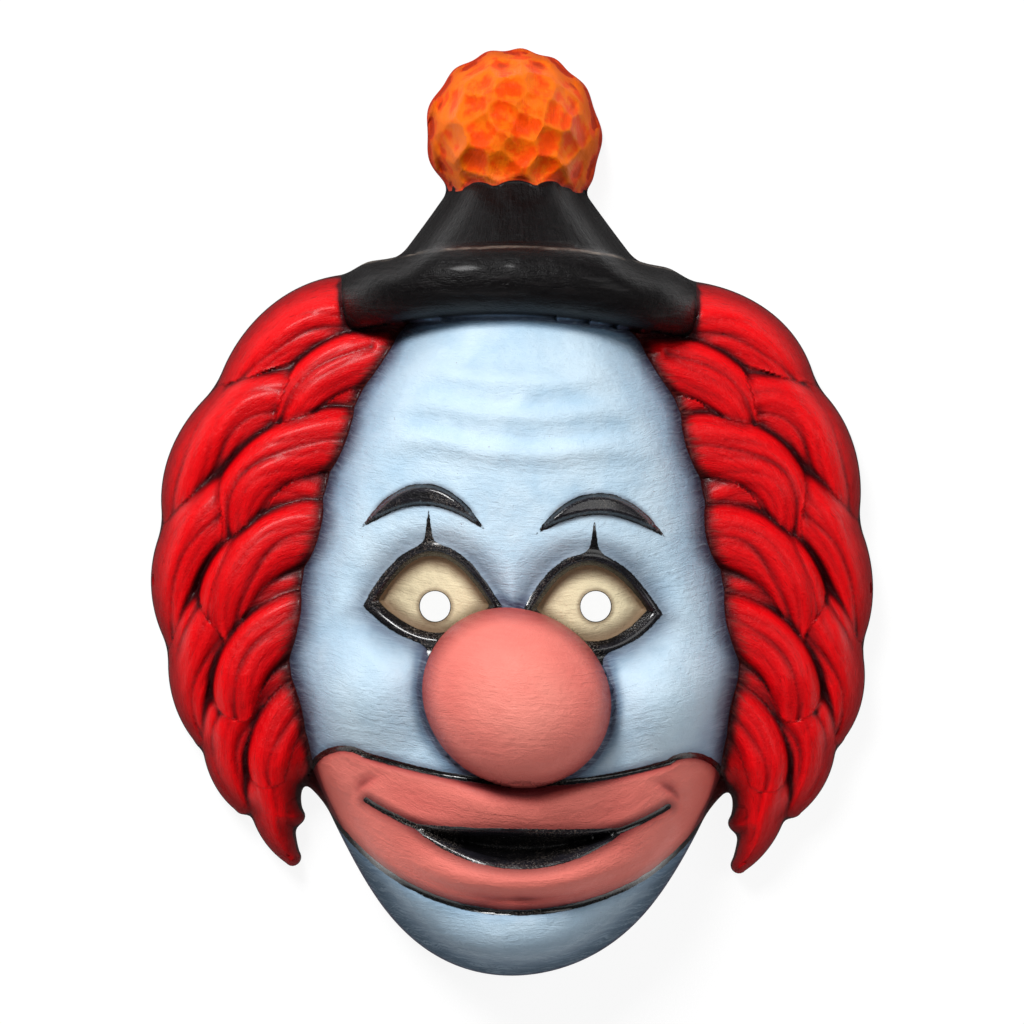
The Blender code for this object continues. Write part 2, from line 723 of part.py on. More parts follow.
def cut_holes(shell, outline, offset):
    """Two eye holes straight through the face, and a hole for the band in each side's widest place."""
    eye_drill = drill_mesh("eye_hole_cutter", EYE_HOLE_DIAMETER, 4 * FACE_DEPTH, 32)
    strap_drill = drill_mesh("strap_hole_cutter", STRAP_HOLE_DIAMETER, 8 * WALL, 16)
    for side, name in ((1, "right"), (-1, "left")):
        eye = Matrix.Translation(offset + Vector((side * EYE_SPACING / 2, 0, 0)))
        cut(shell, f"eye_hole_{name}", eye_drill, eye)
        widest_x, widest_y = outline[np.argmax(side * outline[:, 0])]
        strap = Matrix.Translation(offset + Vector((widest_x, widest_y, STRAP_HOLE_HEIGHT)))
        strap = strap @ Matrix.Rotation(math.pi / 2, 4, "Y")
        cut(shell, f"strap_hole_{name}", strap_drill, strap)


def build_mask():
    mesh, outline = shell_mesh()
    low, high = outline.min(axis=0), outline.max(axis=0)
    offset = Vector((-(low[0] + high[0]) / 2, -(low[1] + high[1]) / 2, 0))
    mesh.transform(Matrix.Translation(offset))
    mesh.shade_smooth()
    shell = add_object("mask_shell", mesh)
    painted(shell, "painted_shell", SHELL_COLOUR, SHELL_ROUGHNESS)
    thin = shell.modifiers.new("fewer_triangles", "DECIMATE")
    thin.ratio = SHELL_TRIANGLES / (2 * len(mesh.vertices))
    below = 2 * TRIMMED_SKIRT
    bench = block_mesh("rim_cutter", (2 * HAIR_SPREAD, 2 * (high[1] - low[1]), below))
    cut(shell, "rim_trim", bench, Matrix.Translation((0, 0, -below / 2)))
    cut_holes(shell, outline, offset)


for old in list(bpy.data.objects):
    bpy.data.objects.remove(old)
build_mask()
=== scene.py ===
"""The looks of the clown mask: the same moulded form as in the frame at a finer pitch, with the hair's
strands and the small marks of the hand that made it, painted and airbrushed, with painted shade in
its hollows and towards its edges and painted highlights on its raised forms.

Sizes are in metres. The sculpting functions measure x from the middle of the face, y from the line of
the eyes and z from the rim, as the part's own source does.
"""

import math

import bmesh
import bpy
import numpy as np
from mathutils import Matrix, Vector
from mathutils.geometry import delaunay_2d_cdt


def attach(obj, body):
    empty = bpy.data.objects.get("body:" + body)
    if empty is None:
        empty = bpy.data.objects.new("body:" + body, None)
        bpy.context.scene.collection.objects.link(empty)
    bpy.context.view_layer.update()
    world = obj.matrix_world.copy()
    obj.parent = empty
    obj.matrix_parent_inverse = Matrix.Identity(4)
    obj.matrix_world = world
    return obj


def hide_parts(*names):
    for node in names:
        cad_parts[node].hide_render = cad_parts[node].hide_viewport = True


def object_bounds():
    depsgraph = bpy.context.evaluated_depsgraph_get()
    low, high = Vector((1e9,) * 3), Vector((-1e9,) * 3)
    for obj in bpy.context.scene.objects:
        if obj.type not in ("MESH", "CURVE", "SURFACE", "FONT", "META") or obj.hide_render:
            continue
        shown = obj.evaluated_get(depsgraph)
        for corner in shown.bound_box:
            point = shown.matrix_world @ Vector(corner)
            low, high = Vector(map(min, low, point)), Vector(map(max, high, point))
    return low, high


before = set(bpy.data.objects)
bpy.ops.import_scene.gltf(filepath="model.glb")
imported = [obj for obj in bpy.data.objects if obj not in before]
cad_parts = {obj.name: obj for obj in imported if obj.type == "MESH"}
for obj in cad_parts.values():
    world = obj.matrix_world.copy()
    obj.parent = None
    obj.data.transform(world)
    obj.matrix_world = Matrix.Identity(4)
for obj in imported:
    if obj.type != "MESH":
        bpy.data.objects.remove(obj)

CAD_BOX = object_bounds()

# Face: an egg whose chin and hidden top lie this far from the line of the eyes
FACE_WIDTH = 0.184
EYES_TO_CHIN = 0.150
EYES_TO_FACE_TOP = 0.134
FACE_DEPTH = 0.084

# Eyes
EYE_SPACING = 0.063
EYE_HOLE_DIAMETER = 0.012
EYE_WIDTH = 0.044
EYE_HEIGHT = 0.030
EYE_RECESS = 0.0035
EYEBALL_BULGE = 0.0045
LID_RISE = 0.003
LID_WIDTH = 0.0026
SOCKET_DEPTH = 0.009
SOCKET_REACH = 0.018

# Brows and forehead
BROW_LENGTH = 0.050
BROW_THICKNESS = 0.0085
BROW_ABOVE_EYES = 0.042
BROW_RISE = 0.0035
FOREHEAD_FOLD_RISE = 0.0030
FOREHEAD_FOLD_WIDTH = 0.0048

# Nose and cheeks
NOSE_WIDTH = 0.074
NOSE_HEIGHT = 0.069
NOSE_BELOW_EYES = 0.035
NOSE_BALL_CENTRE = 0.080
NOSE_BALL_REACH = 0.036
CHEEK_RADIUS = 0.030
CHEEK_RISE = 0.012

# Mouth: every curve of it is an arc about one centre above the nose
SMILE_RADIUS = 0.122
SMILE_BELOW_EYES = 0.094
SMILE_HALF_ANGLE = math.radians(34)
PATCH_THICKNESS = 0.052
PATCH_END_THICKNESS = 0.030
PATCH_RISE = 0.0022
MOUTH_HALF_ANGLE = math.radians(19)
MOUTH_OPENING = 0.014
MOUTH_DEPTH = 0.010
LIP_RISE = 0.0065
GROOVE_WIDTH = 0.002
GROOVE_DEPTH = 0.002
CHIN_RISE = 0.009
CHIN_HEIGHT = 0.042

# Hair
HAIR_SPREAD = 0.291
HAIR_TOP = 0.112
HAIR_BOTTOM = 0.104
HAIR_MASS_SPREAD = 0.248
LOCK_WIDTH = 0.036
LOCK_BASE = 0.020
LOCK_RISE = 0.017
FRONT_LOCK_LIFT = 0.009
HAIR_SKIRT = 0.006

# Hat and pompom
BRIM_WIDTH = 0.142
BRIM_THICKNESS = 0.027
BRIM_ABOVE_EYES = 0.128
BRIM_DROOP = 0.006
BRIM_DEPTH = 0.064
CROWN_WIDTH = 0.112
CROWN_HEIGHT = 0.060
CROWN_DEPTH = 0.066
CROWN_TIP_WIDTH = 0.026
POMPOM_DIAMETER = 0.070
POMPOM_ABOVE_EYES = 0.189
POMPOM_CENTRE_DEPTH = 0.013
POMPOM_DIMPLE_DEPTH = 0.0030
POMPOM_DIMPLES = 120
POMPOM_EDGE_BUMPS = 13

# Shell, and how wide the slope is at the edge of a raised or sunk form
WALL = 0.002
SLOPE = 0.002
EDGE_ROUNDING = 0.015
NOTCH_FILLET = 0.004
BLEND = 0.005

# Holes for an elastic band, one in each side
STRAP_HOLE_DIAMETER = 0.005
STRAP_HOLE_HEIGHT = 0.012

# How much the left half of the hand-made form differs from the right
HAND_WARP = 0.0014
HAND_WAVE_LONG = 0.034
HAND_WAVE_SHORT = 0.022

# Each row is one level of the face, from the chin to the hidden top:
# height as a share of the egg, then its width and depth as shares of the plain egg there
FACE_SECTIONS = [
    # height, width, depth
    (0.00, 1.00, 1.00),
    (0.15, 0.97, 0.99),
    (0.30, 1.00, 0.96),
    (0.45, 1.04, 0.97),
    (0.58, 0.97, 1.00),
    (0.72, 0.95, 1.03),
    (0.88, 0.98, 1.02),
    (1.00, 1.00, 1.00),
]

# Each row is one fold across the forehead: its height as a share of the brows' and its reach to each
# side as a share of half of the face's width
FOREHEAD_FOLDS = [
    # height, reach
    (1.42, 0.66),
    (1.76, 0.60),
    (2.08, 0.48),
]

# Each row is one lock of hair on the right side, from the hat down. Heights are shares of HAIR_TOP
# above the eyes and of HAIR_BOTTOM below them, the tip's reach is a share of half of HAIR_SPREAD, the
# bulge is how far the lock bows up and outwards as a share of its length, the width is a share of
# LOCK_WIDTH, the rise of LOCK_RISE and the lift of FRONT_LOCK_LIFT
HAIR_LOCKS = [
    # root height, tip height, tip reach, bulge, width, rise, lift
    (0.98, 0.50, 0.780, 0.30, 1.06, 0.85, 0.0),
    (0.72, 0.16, 0.885, 0.31, 1.12, 1.00, 0.0),
    (0.40, -0.16, 0.918, 0.29, 1.12, 1.08, 0.0),
    (0.06, -0.50, 0.870, 0.28, 1.08, 1.00, 0.0),
    (-0.24, -0.78, 0.760, 0.26, 0.98, 0.90, 0.0),
    (-0.46, -1.00, 0.620, 0.22, 0.80, 0.75, 0.0),
    (0.86, 0.40, 0.600, 0.30, 0.92, 0.70, 0.9),
    (0.58, 0.02, 0.700, 0.33, 1.00, 0.80, 1.0),
    (0.26, -0.30, 0.735, 0.31, 1.00, 0.85, 1.0),
    (-0.06, -0.60, 0.700, 0.28, 0.94, 0.80, 0.9),
    (-0.36, -0.84, 0.610, 0.24, 0.80, 0.65, 0.7),
]

# Small functions that every form uses

def arch(share, power):
    """1 in the middle of a span, and 0 with a steep end at both its ends, where share is -1 and 1."""
    return np.maximum(1 - np.abs(share) ** power, 0) ** (1 / power)


def ramp(value, start, end):
    """0 before start, 1 after end, and a smooth step between them."""
    share = np.clip((value - start) / (end - start), 0, 1)
    return share * share * (3 - 2 * share)


def hump(distance, width):
    """1 at distance 0, falling smoothly to about nothing at twice the width."""
    return np.exp(-((distance / width) ** 2))


def blended_max(first, second, blend):
    """The higher of two heights, with a fillet of about this size where they cross."""
    near = np.maximum(blend - np.abs(first - second), 0) / blend
    return np.maximum(first, second) + near * near * blend / 4


def blended_min(first, second, blend):
    return -blended_max(-first, -second, blend)


def ellipse_distance(x, y, half_width, half_height):
    """About the signed distance to an ellipse about the origin, below 0 inside it."""
    reach = np.hypot(x / half_width, y / half_height)
    slope = np.hypot(x / half_width**2, y / half_height**2)
    return np.where(slope > 1e-6, reach * (reach - 1) / np.maximum(slope, 1e-6), -half_width)


def from_table(rows, column, share):
    """A column of a table of sections at these shares of its first column, on a smooth curve."""
    table = np.array(rows)
    knots, values = table[:, 0], table[:, column]
    slopes = np.gradient(values, knots)
    share = np.clip(share, knots[0], knots[-1])
    row = np.clip(np.searchsorted(knots, share, side="right") - 1, 0, len(knots) - 2)
    span = knots[row + 1] - knots[row]
    t = (share - knots[row]) / span
    return (
        (1 + 2 * t) * (1 - t) ** 2 * values[row]
        + t * (1 - t) ** 2 * span * slopes[row]
        + t * t * (3 - 2 * t) * values[row + 1]
        - t * t * (1 - t) * span * slopes[row + 1]
    )


# Face

FACE_HALF_HEIGHT = (EYES_TO_CHIN + EYES_TO_FACE_TOP) / 2
FACE_MIDDLE = (EYES_TO_FACE_TOP - EYES_TO_CHIN) / 2
DEPTH_POWER = 2.8
SECTION_POWER = 2.3


def face_share(y):
    """-1 at the chin and 1 at the hidden top."""
    return (y - FACE_MIDDLE) / FACE_HALF_HEIGHT


def face_half_width(y):
    share = face_share(y)
    egg = np.sqrt(np.maximum(1 - share**2, 0))
    return FACE_WIDTH / 2 * egg * from_table(FACE_SECTIONS, 1, (share + 1) / 2)


def face_distance(x, y):
    width = from_table(FACE_SECTIONS, 1, (face_share(y) + 1) / 2)
    return ellipse_distance(x / width, y - FACE_MIDDLE, FACE_WIDTH / 2, FACE_HALF_HEIGHT)


def face_height(x, y):
    """The plain egg's height, without its relief."""
    share = face_share(y)
    depth = FACE_DEPTH * arch(share, DEPTH_POWER) * from_table(FACE_SECTIONS, 2, (share + 1) / 2)
    return depth * arch(x / np.maximum(face_half_width(y), 1e-6), SECTION_POWER)


# Eyes and brows, drawn on the right half: across runs outwards from the middle of the face

def eye_distance(across, y):
    """About the distance to the edge of the eye's opening, an almond with a round upper lid."""
    share = (across - EYE_SPACING / 2) / (EYE_WIDTH / 2)
    upper = 0.60 * EYE_HEIGHT * (1 - share**2)
    lower = -0.40 * EYE_HEIGHT * (1 - share**2)
    return np.maximum(y - upper, lower - y) / np.sqrt(1 + (EYE_HEIGHT / EYE_WIDTH * 2 * share) ** 2)


def brow_line(across):
    """The height of the brow's middle line, an arc that is highest a little outside the eye."""
    share = (across - 1.12 * EYE_SPACING / 2) / (BROW_LENGTH / 2)
    return BROW_ABOVE_EYES - 0.26 * BROW_LENGTH * share**2


def brow_distance(across, y):
    """About the distance to the brow's edge: thick in the middle and pointed at both ends."""
    share = (across - 1.12 * EYE_SPACING / 2) / (BROW_LENGTH / 2)
    slope = np.sqrt(1 + (1.04 * share) ** 2)
    return np.abs(y - brow_line(across)) / slope - BROW_THICKNESS / 2 * (1 - share**2)


def eye_relief(across, y):
    socket = ellipse_distance(across - EYE_SPACING / 2, y, 1.6 * EYE_WIDTH / 2, 1.9 * EYE_HEIGHT / 2)
    edge = eye_distance(across, y)
    ball = np.hypot(across - EYE_SPACING / 2, y) / (0.55 * EYE_WIDTH)
    return (
        -SOCKET_DEPTH * ramp(-socket, -0.22 * SOCKET_REACH, SOCKET_REACH)
        + LID_RISE * hump(edge - 1.08 * LID_WIDTH, LID_WIDTH)
        + ramp(-edge, 0, 0.75 * SLOPE) * (EYEBALL_BULGE * (1 - np.minimum(ball, 1) ** 2) - EYE_RECESS)
    )


def forehead_relief(across, y):
    brow = BROW_RISE * ramp(-brow_distance(across, y), 0, SLOPE)
    folds = 0
    for height, reach in FOREHEAD_FOLDS:
        line = BROW_ABOVE_EYES * (height + 0.10 * np.sin(math.pi * (across / EYE_SPACING - 0.1)) ** 2)
        fade = ramp(-across, -reach * FACE_WIDTH / 2, -0.55 * reach * FACE_WIDTH / 2)
        folds = folds + FOREHEAD_FOLD_RISE * hump(y - line, FOREHEAD_FOLD_WIDTH) * fade
    return brow + folds


# Nose, cheeks and chin

def nose_distance(x, y):
    return ellipse_distance(x, y + NOSE_BELOW_EYES, NOSE_WIDTH / 2, NOSE_HEIGHT / 2)


def nose_height(x, y):
    reach = np.hypot(x / (NOSE_WIDTH / 2), (y + NOSE_BELOW_EYES) / (NOSE_HEIGHT / 2))
    ball = NOSE_BALL_CENTRE + NOSE_BALL_REACH * np.sqrt(np.maximum(1 - reach**2, 0))
    return np.where(reach < 1, ball, 0)


def cheek_relief(across, y):
    away = np.hypot(across - 0.66 * FACE_WIDTH / 2, y + 1.05 * NOSE_BELOW_EYES) / CHEEK_RADIUS
    return CHEEK_RISE * np.maximum(1 - away**2, 0) ** 2


# Mouth, in polar form about the smile's centre: turn is the angle from straight down

SMILE_CENTRE = SMILE_RADIUS - SMILE_BELOW_EYES


def smile_polar(across, y):
    radius = np.hypot(across, y - SMILE_CENTRE)
    return radius - SMILE_RADIUS, np.arctan2(across, SMILE_CENTRE - y)


def patch_distance(across, y):
    """About the distance to the edge of the painted patch: a crescent with round ends."""
    outwards, turn = smile_polar(across, y)
    share = np.minimum(np.abs(turn) / SMILE_HALF_ANGLE, 1)
    half = PATCH_THICKNESS / 2 + (PATCH_END_THICKNESS - PATCH_THICKNESS) / 2 * share**2
    past_end = np.maximum(np.abs(turn) - SMILE_HALF_ANGLE, 0) * SMILE_RADIUS
    return np.hypot(outwards, past_end) - half


def mouth_distance(across, y):
    """About the distance to the edge of the open mouth, a thin crescent with pointed ends."""
    outwards, turn = smile_polar(across, y)
    share = turn / MOUTH_HALF_ANGLE
    return np.abs(outwards) - MOUTH_OPENING / 2 * (1 - share**2)


def mouth_relief(across, y):
    outwards, turn = smile_polar(across, y)
    patch = patch_distance(across, y)
    mouth = mouth_distance(across, y)
    along = ramp(-np.abs(turn), -1.25 * MOUTH_HALF_ANGLE, -0.35 * MOUTH_HALF_ANGLE)
    upper = LIP_RISE * 0.7 * hump(outwards + 1.2 * MOUTH_OPENING, 0.55 * MOUTH_OPENING)
    lower = LIP_RISE * hump(outwards - 1.05 * MOUTH_OPENING, 0.55 * MOUTH_OPENING)
    line = hump(outwards, GROOVE_WIDTH)
    line = line * ramp(-np.abs(turn), -0.88 * SMILE_HALF_ANGLE, -0.84 * SMILE_HALF_ANGLE)
    return (
        PATCH_RISE * ramp(-patch, 0, 2 * SLOPE)
        - 0.8 * GROOVE_DEPTH * hump(patch, GROOVE_WIDTH)
        + along * (upper + lower)
        - GROOVE_DEPTH * line
        - MOUTH_DEPTH * ramp(-mouth, 0, 2.75 * SLOPE)
    )


def chin_relief(x, y):
    middle = -(SMILE_BELOW_EYES + PATCH_THICKNESS / 2 + EYES_TO_CHIN) / 2
    away = np.hypot(x / (0.38 * FACE_WIDTH / 2), (y - middle) / (CHIN_HEIGHT / 2))
    return CHIN_RISE * np.maximum(1 - away**2, 0) ** 1.5


# Hair: each lock is a tapering roll along an arc

TIP_SHARE = 0.24
TIP_RISE_SHARE = 0.35
LOCK_POWER = 1.9


def lock_height_on_face(share):
    return share * (HAIR_TOP if share > 0 else HAIR_BOTTOM)


def lock_arc(row):
    """The arc of one row of HAIR_LOCKS: its centre, radius, first angle and sweep."""
    root_y = lock_height_on_face(row[0])
    root = Vector((0.90 * float(face_half_width(np.array(root_y))), root_y))
    tip = Vector((row[2] * HAIR_SPREAD / 2, lock_height_on_face(row[1])))
    chord = tip - root
    bulge = row[3] * chord.length
    radius = (chord.length**2 / 4 + bulge**2) / (2 * bulge)
    left_of_chord = Vector((-chord.y, chord.x)).normalized()
    centre = (root + tip) / 2 + left_of_chord * (bulge - radius)
    first = math.atan2(root.y - centre.y, root.x - centre.x)
    last = math.atan2(tip.y - centre.y, tip.x - centre.x)
    return centre, radius, first, last - first


LOCK_ARCS = [lock_arc(row) for row in HAIR_LOCKS]


def lock_position(number, across, y):
    """Where a point lies on one lock: the distance from its middle line, its half width there, and
    the share of its length, which is below 0 or above 1 past an end."""
    centre, radius, first, sweep = LOCK_ARCS[number]
    dx, dy = across - centre.x, y - centre.y
    along = (np.arctan2(dy, dx) - first) / sweep
    inside = np.clip(along, 0, 1)
    end_x = centre.x + radius * np.cos(first + inside * sweep)
    end_y = centre.y + radius * np.sin(first + inside * sweep)
    away = np.hypot(across - end_x, y - end_y)
    width = HAIR_LOCKS[number][4] * LOCK_WIDTH / 2 * (1 - (1 - TIP_SHARE) * inside**2)
    return away, width, along


def lock_rise(number, away, width, along):
    """How far a lock stands over the mass: it is a roll that sinks towards its tip."""
    _, _, _, _, _, rise, lift = HAIR_LOCKS[number]
    roll = arch(away / width, LOCK_POWER)
    sunk = TIP_RISE_SHARE + (1 - TIP_RISE_SHARE) * ramp(-along, -1.05, -0.45)
    return sunk * (rise * LOCK_RISE * roll + lift * FRONT_LOCK_LIFT * ramp(roll, 0, 0.9))


def hair_distance(across, y):
    """About the distance to the outline of the hair: the mass behind the face and the locks on it."""
    middle, half = 0.10 * HAIR_TOP, 1.05 * HAIR_TOP
    nearest = ellipse_distance(across, y - middle, HAIR_MASS_SPREAD / 2, half)
    for number in range(len(HAIR_LOCKS)):
        away, width, _ = lock_position(number, across, y)
        nearest = blended_min(nearest, away - width, NOTCH_FILLET)
    return nearest


def hair_height(across, y):
    """The hair's height, which runs out over HAIR_SKIRT past its outline, below the face and the hat."""
    height = LOCK_BASE * ramp(-hair_distance(across, y), -HAIR_SKIRT, 0)
    for number in range(len(HAIR_LOCKS)):
        away, width, along = lock_position(number, across, y)
        lock = LOCK_BASE + lock_rise(number, away, width, along)
        height = np.where(away < width, blended_max(height, lock, BLEND / 2), height)
    return height


# Hat and pompom

def brim_line(across):
    return BRIM_ABOVE_EYES - BRIM_DROOP * (across / (BRIM_WIDTH / 2)) ** 2


def brim_distance(across, y):
    straight = (BRIM_WIDTH - BRIM_THICKNESS) / 2
    past_end = np.maximum(across - straight, 0)
    return np.hypot(past_end, y - brim_line(across)) - BRIM_THICKNESS / 2


def brim_edge_distance(across, y):
    """About the distance to the brim's upper or lower edge, where it steps down to what lies beside it."""
    return np.abs(y - brim_line(across)) - BRIM_THICKNESS / 2


def brim_height(across, y):
    roll = arch((y - brim_line(across)) / (BRIM_THICKNESS / 2), 2)
    round_head = BRIM_DEPTH * arch(across / (1.02 * BRIM_WIDTH / 2), 2.4)
    rolled = 0.5 * BRIM_THICKNESS * roll * ramp(round_head, 0, BRIM_THICKNESS)
    return np.where(roll > 0, round_head + rolled, 0)


def crown_half_width(y):
    share = np.clip((y - BRIM_ABOVE_EYES) / CROWN_HEIGHT, 0, 1)
    return CROWN_WIDTH / 2 + (CROWN_TIP_WIDTH - CROWN_WIDTH) / 2 * (1.18 * share - 0.18 * share**2)


def crown_distance(across, y):
    top = y - BRIM_ABOVE_EYES - CROWN_HEIGHT
    hidden_foot = BRIM_ABOVE_EYES - BRIM_THICKNESS - y
    return np.maximum(np.maximum(0.85 * (across - crown_half_width(y)), top), hidden_foot)


def crown_height(across, y):
    width = crown_half_width(y)
    depth = CROWN_DEPTH * (0.25 + 0.75 * width / (CROWN_WIDTH / 2))
    shown = (crown_distance(across, y) < 0) & (y > BRIM_ABOVE_EYES)
    return np.where(shown, depth * arch(across / width, 2.1), 0)


def pompom_distance(x, y):
    turn = np.arctan2(x, y - POMPOM_ABOVE_EYES)
    bumps = np.sin(POMPOM_EDGE_BUMPS * turn + 1.5 * np.sin(2 * turn))
    return np.hypot(x, y - POMPOM_ABOVE_EYES) - POMPOM_DIAMETER / 2 - 0.2 * POMPOM_DIMPLE_DEPTH * bumps


def pompom_height(x, y):
    radius = POMPOM_DIAMETER / 2
    ball_x, ball_y = x / radius, (y - POMPOM_ABOVE_EYES) / radius
    ball_z = np.sqrt(np.maximum(1 - ball_x**2 - ball_y**2, 0))
    nearest = np.full(np.shape(ball_x), 2.0)
    golden = math.pi * (3 - math.sqrt(5))
    for number in range(int(0.62 * POMPOM_DIMPLES)):
        up = 1 - (2 * number + 1 + 0.8 * math.sin(5.1 * number)) / POMPOM_DIMPLES
        flat = math.sqrt(1 - up * up)
        turn = golden * number + 0.22 * math.cos(3.7 * number)
        dx = ball_x - flat * math.cos(turn)
        dy = ball_y - flat * math.sin(turn)
        nearest = np.minimum(nearest, np.sqrt(dx**2 + dy**2 + (ball_z - up) ** 2))
    spacing = math.sqrt(4 * math.pi / POMPOM_DIMPLES)
    dimple = 1 - np.minimum(nearest / (0.62 * spacing), 1) ** 2
    reach = 1 - POMPOM_DIMPLE_DEPTH / radius * dimple
    ball = radius * np.sqrt(np.maximum(reach**2 - ball_x**2 - ball_y**2, 0))
    return np.where(pompom_distance(x, y) < 0, POMPOM_CENTRE_DEPTH + ball, 0)


# The whole mask

def hand_made(x, y):
    """Shifts points a little, so that the two halves differ as they do on a form made by hand."""
    long_x, long_y = x / HAND_WAVE_LONG, y / HAND_WAVE_LONG
    short_x = x / HAND_WAVE_SHORT
    shifted_x = x + HAND_WARP * (np.sin(1.1 * long_y + 0.8) + 0.6 * np.sin(0.9 * short_x + 0.8 * long_y))
    shifted_y = y + HAND_WARP * (np.sin(0.9 * long_x) + 0.6 * np.sin(short_x - 0.65 * long_y + 0.4))
    return shifted_x, shifted_y


def outline_distance(x, y):
    """About the distance to the mask's outline as seen from the front, below 0 inside it."""
    x, y = hand_made(x, y)
    across = np.abs(x)
    hat = blended_min(brim_distance(across, y), crown_distance(across, y), NOTCH_FILLET)
    hat = blended_min(hat, pompom_distance(x, y), NOTCH_FILLET)
    head = blended_min(face_distance(x, y), hair_distance(across, y), NOTCH_FILLET)
    return blended_min(head, hat, NOTCH_FILLET)


def trace_outline(step):
    """The mask's outline as a loop of points, from the chin round by its right side."""
    tiny = 1e-6
    start = np.array([0.0, -EYES_TO_CHIN])
    here = start.copy()
    loop = []
    while len(loop) < 20 or np.hypot(*(here - start)) > 0.8 * step:
        for _ in range(3):
            x = here[0] + np.array([0, tiny, 0])
            y = here[1] + np.array([0, 0, tiny])
            value = outline_distance(x, y)
            slope = (value[1:] - value[0]) / tiny
            here = here - value[0] * slope / (slope @ slope)
        if not loop:
            start = here
        loop.append(here)
        here = here + step * np.array([-slope[1], slope[0]]) / np.hypot(*slope)
    return np.array(loop)


def edge_distance(outline, x, y):
    """The distance to the nearest stretch of the outline."""
    nearest = np.full(np.shape(x), np.inf)
    for start, end in zip(outline, np.roll(outline, -1, axis=0)):
        run = end - start
        share = np.clip(((x - start[0]) * run[0] + (y - start[1]) * run[1]) / (run @ run), 0, 1)
        away = (x - start[0] - share * run[0]) ** 2 + (y - start[1] - share * run[1]) ** 2
        nearest = np.minimum(nearest, away)
    return np.sqrt(nearest)


def edge_rise(outline, x, y):
    """The share of its height that the surface has reached: 0 on the outline, 1 past EDGE_ROUNDING."""
    rough = outline_distance(x, y)
    rise = np.where(rough < 0, 1.0, 0.0)
    near = (rough < 0) & (rough > -2 * EDGE_ROUNDING)
    away = edge_distance(outline, x[near], y[near])
    rise[near] = arch(1 - np.minimum(away / EDGE_ROUNDING, 1), 2.2)
    return rise


def front_height(outline, x, y):
    """The height of the outer surface over the rim's plane, 0 outside the outline."""
    rise = edge_rise(outline, x, y)
    x, y = hand_made(x, y)
    across = np.abs(x)
    relief = eye_relief(across, y) + forehead_relief(across, y) + cheek_relief(across, y)
    relief = relief + mouth_relief(across, y) + chin_relief(x, y)
    face = face_height(x, y)
    face = face + relief * ramp(face, 0.15 * FACE_DEPTH, 0.6 * FACE_DEPTH)
    height = blended_max(face, hair_height(across, y), BLEND / 2)
    height = blended_max(height, nose_height(x, y), BLEND / 2)
    height = blended_max(height, brim_height(across, y), BLEND / 3)
    height = blended_max(height, crown_height(across, y), BLEND / 2)
    height = blended_max(height, pompom_height(x, y), BLEND / 3)
    return height * rise


def back_height(outline, x, y):
    """The height of the inner surface, which keeps WALL from the outer one in every direction, and a
    little more from its steepest steps."""
    lowest = front_height(outline, x, y) - WALL
    for reach, drop_share in ((0.5, 0.87), (0.87, 0.5), (1, 0), (1.35, 0.3)):
        drop = WALL * drop_share
        for turn in np.linspace(0, 2 * math.pi, 12, endpoint=False):
            beside = front_height(outline, x + reach * WALL * np.cos(turn), y + reach * WALL * np.sin(turn))
            lowest = np.minimum(lowest, beside - drop)
    return lowest


# Fine relief that only the looks need

STRANDS_PER_LOCK = 2.2
STRAND_DEPTH = 0.0016
FINE_STRAND_DEPTH = 0.00035
POMPOM_LUMP_DEPTH = 0.0012
LIP_FOLD_BELOW_MOUTH = 0.0205
LIP_FOLD_WIDTH = 0.0042
LIP_FOLD_DEPTH = 0.0026
CORNER_FOLD_LENGTH = 0.016
CORNER_FOLD_WIDTH = 0.0030
CORNER_FOLD_DEPTH = 0.0018
LUMP_DEPTH = 0.00025


def lock_flow(across, y):
    """The lock that is uppermost at each point: its number, and there the distance along it and the
    share of its half width across it, from -1 to 1."""
    top = np.zeros((4, *np.shape(across)))
    for number in range(len(HAIR_LOCKS)):
        away, width, along = lock_position(number, across, y)
        height = lock_rise(number, away, width, along)
        centre, radius, _, sweep = LOCK_ARCS[number]
        side = (np.hypot(across - centre.x, y - centre.y) - radius) / width
        here = np.stack([height, np.full(np.shape(height), number), along * abs(sweep) * radius, side])
        top = np.where(height > top[0], here, top)
    return top[1:]


def strand_relief(number, along, across):
    """Grooves that run along each lock, sharp at the bottom and round on top, and wander a little."""
    wander = 0.20 * np.sin(along / 0.017 + 2.1 * number) + 0.08 * np.sin(along / 0.0075 + 4.3 * number)
    phase = (across + wander) * STRANDS_PER_LOCK * math.pi / 2 + 1.3 * number
    broad = np.abs(np.sin(phase)) ** 0.6
    fine = np.abs(np.sin(2.4 * phase + 1.4 * np.sin(along / 0.012 + number)))
    width = np.array([row[4] for row in HAIR_LOCKS])[number.astype(int)]
    return width * (STRAND_DEPTH * (broad - 0.78) + FINE_STRAND_DEPTH * (fine - 0.6))


def lumps(x, y):
    """The slow unevenness of a form modelled by hand."""
    waves = np.sin(x / 0.0071 + 1.9 * np.sin(y / 0.013)) * np.sin(y / 0.0083 + 1.7 * np.sin(x / 0.011))
    return LUMP_DEPTH * (waves + 0.6 * np.sin((x + y) / 0.0041 + 2.0 * np.sin(x / 0.0095)))


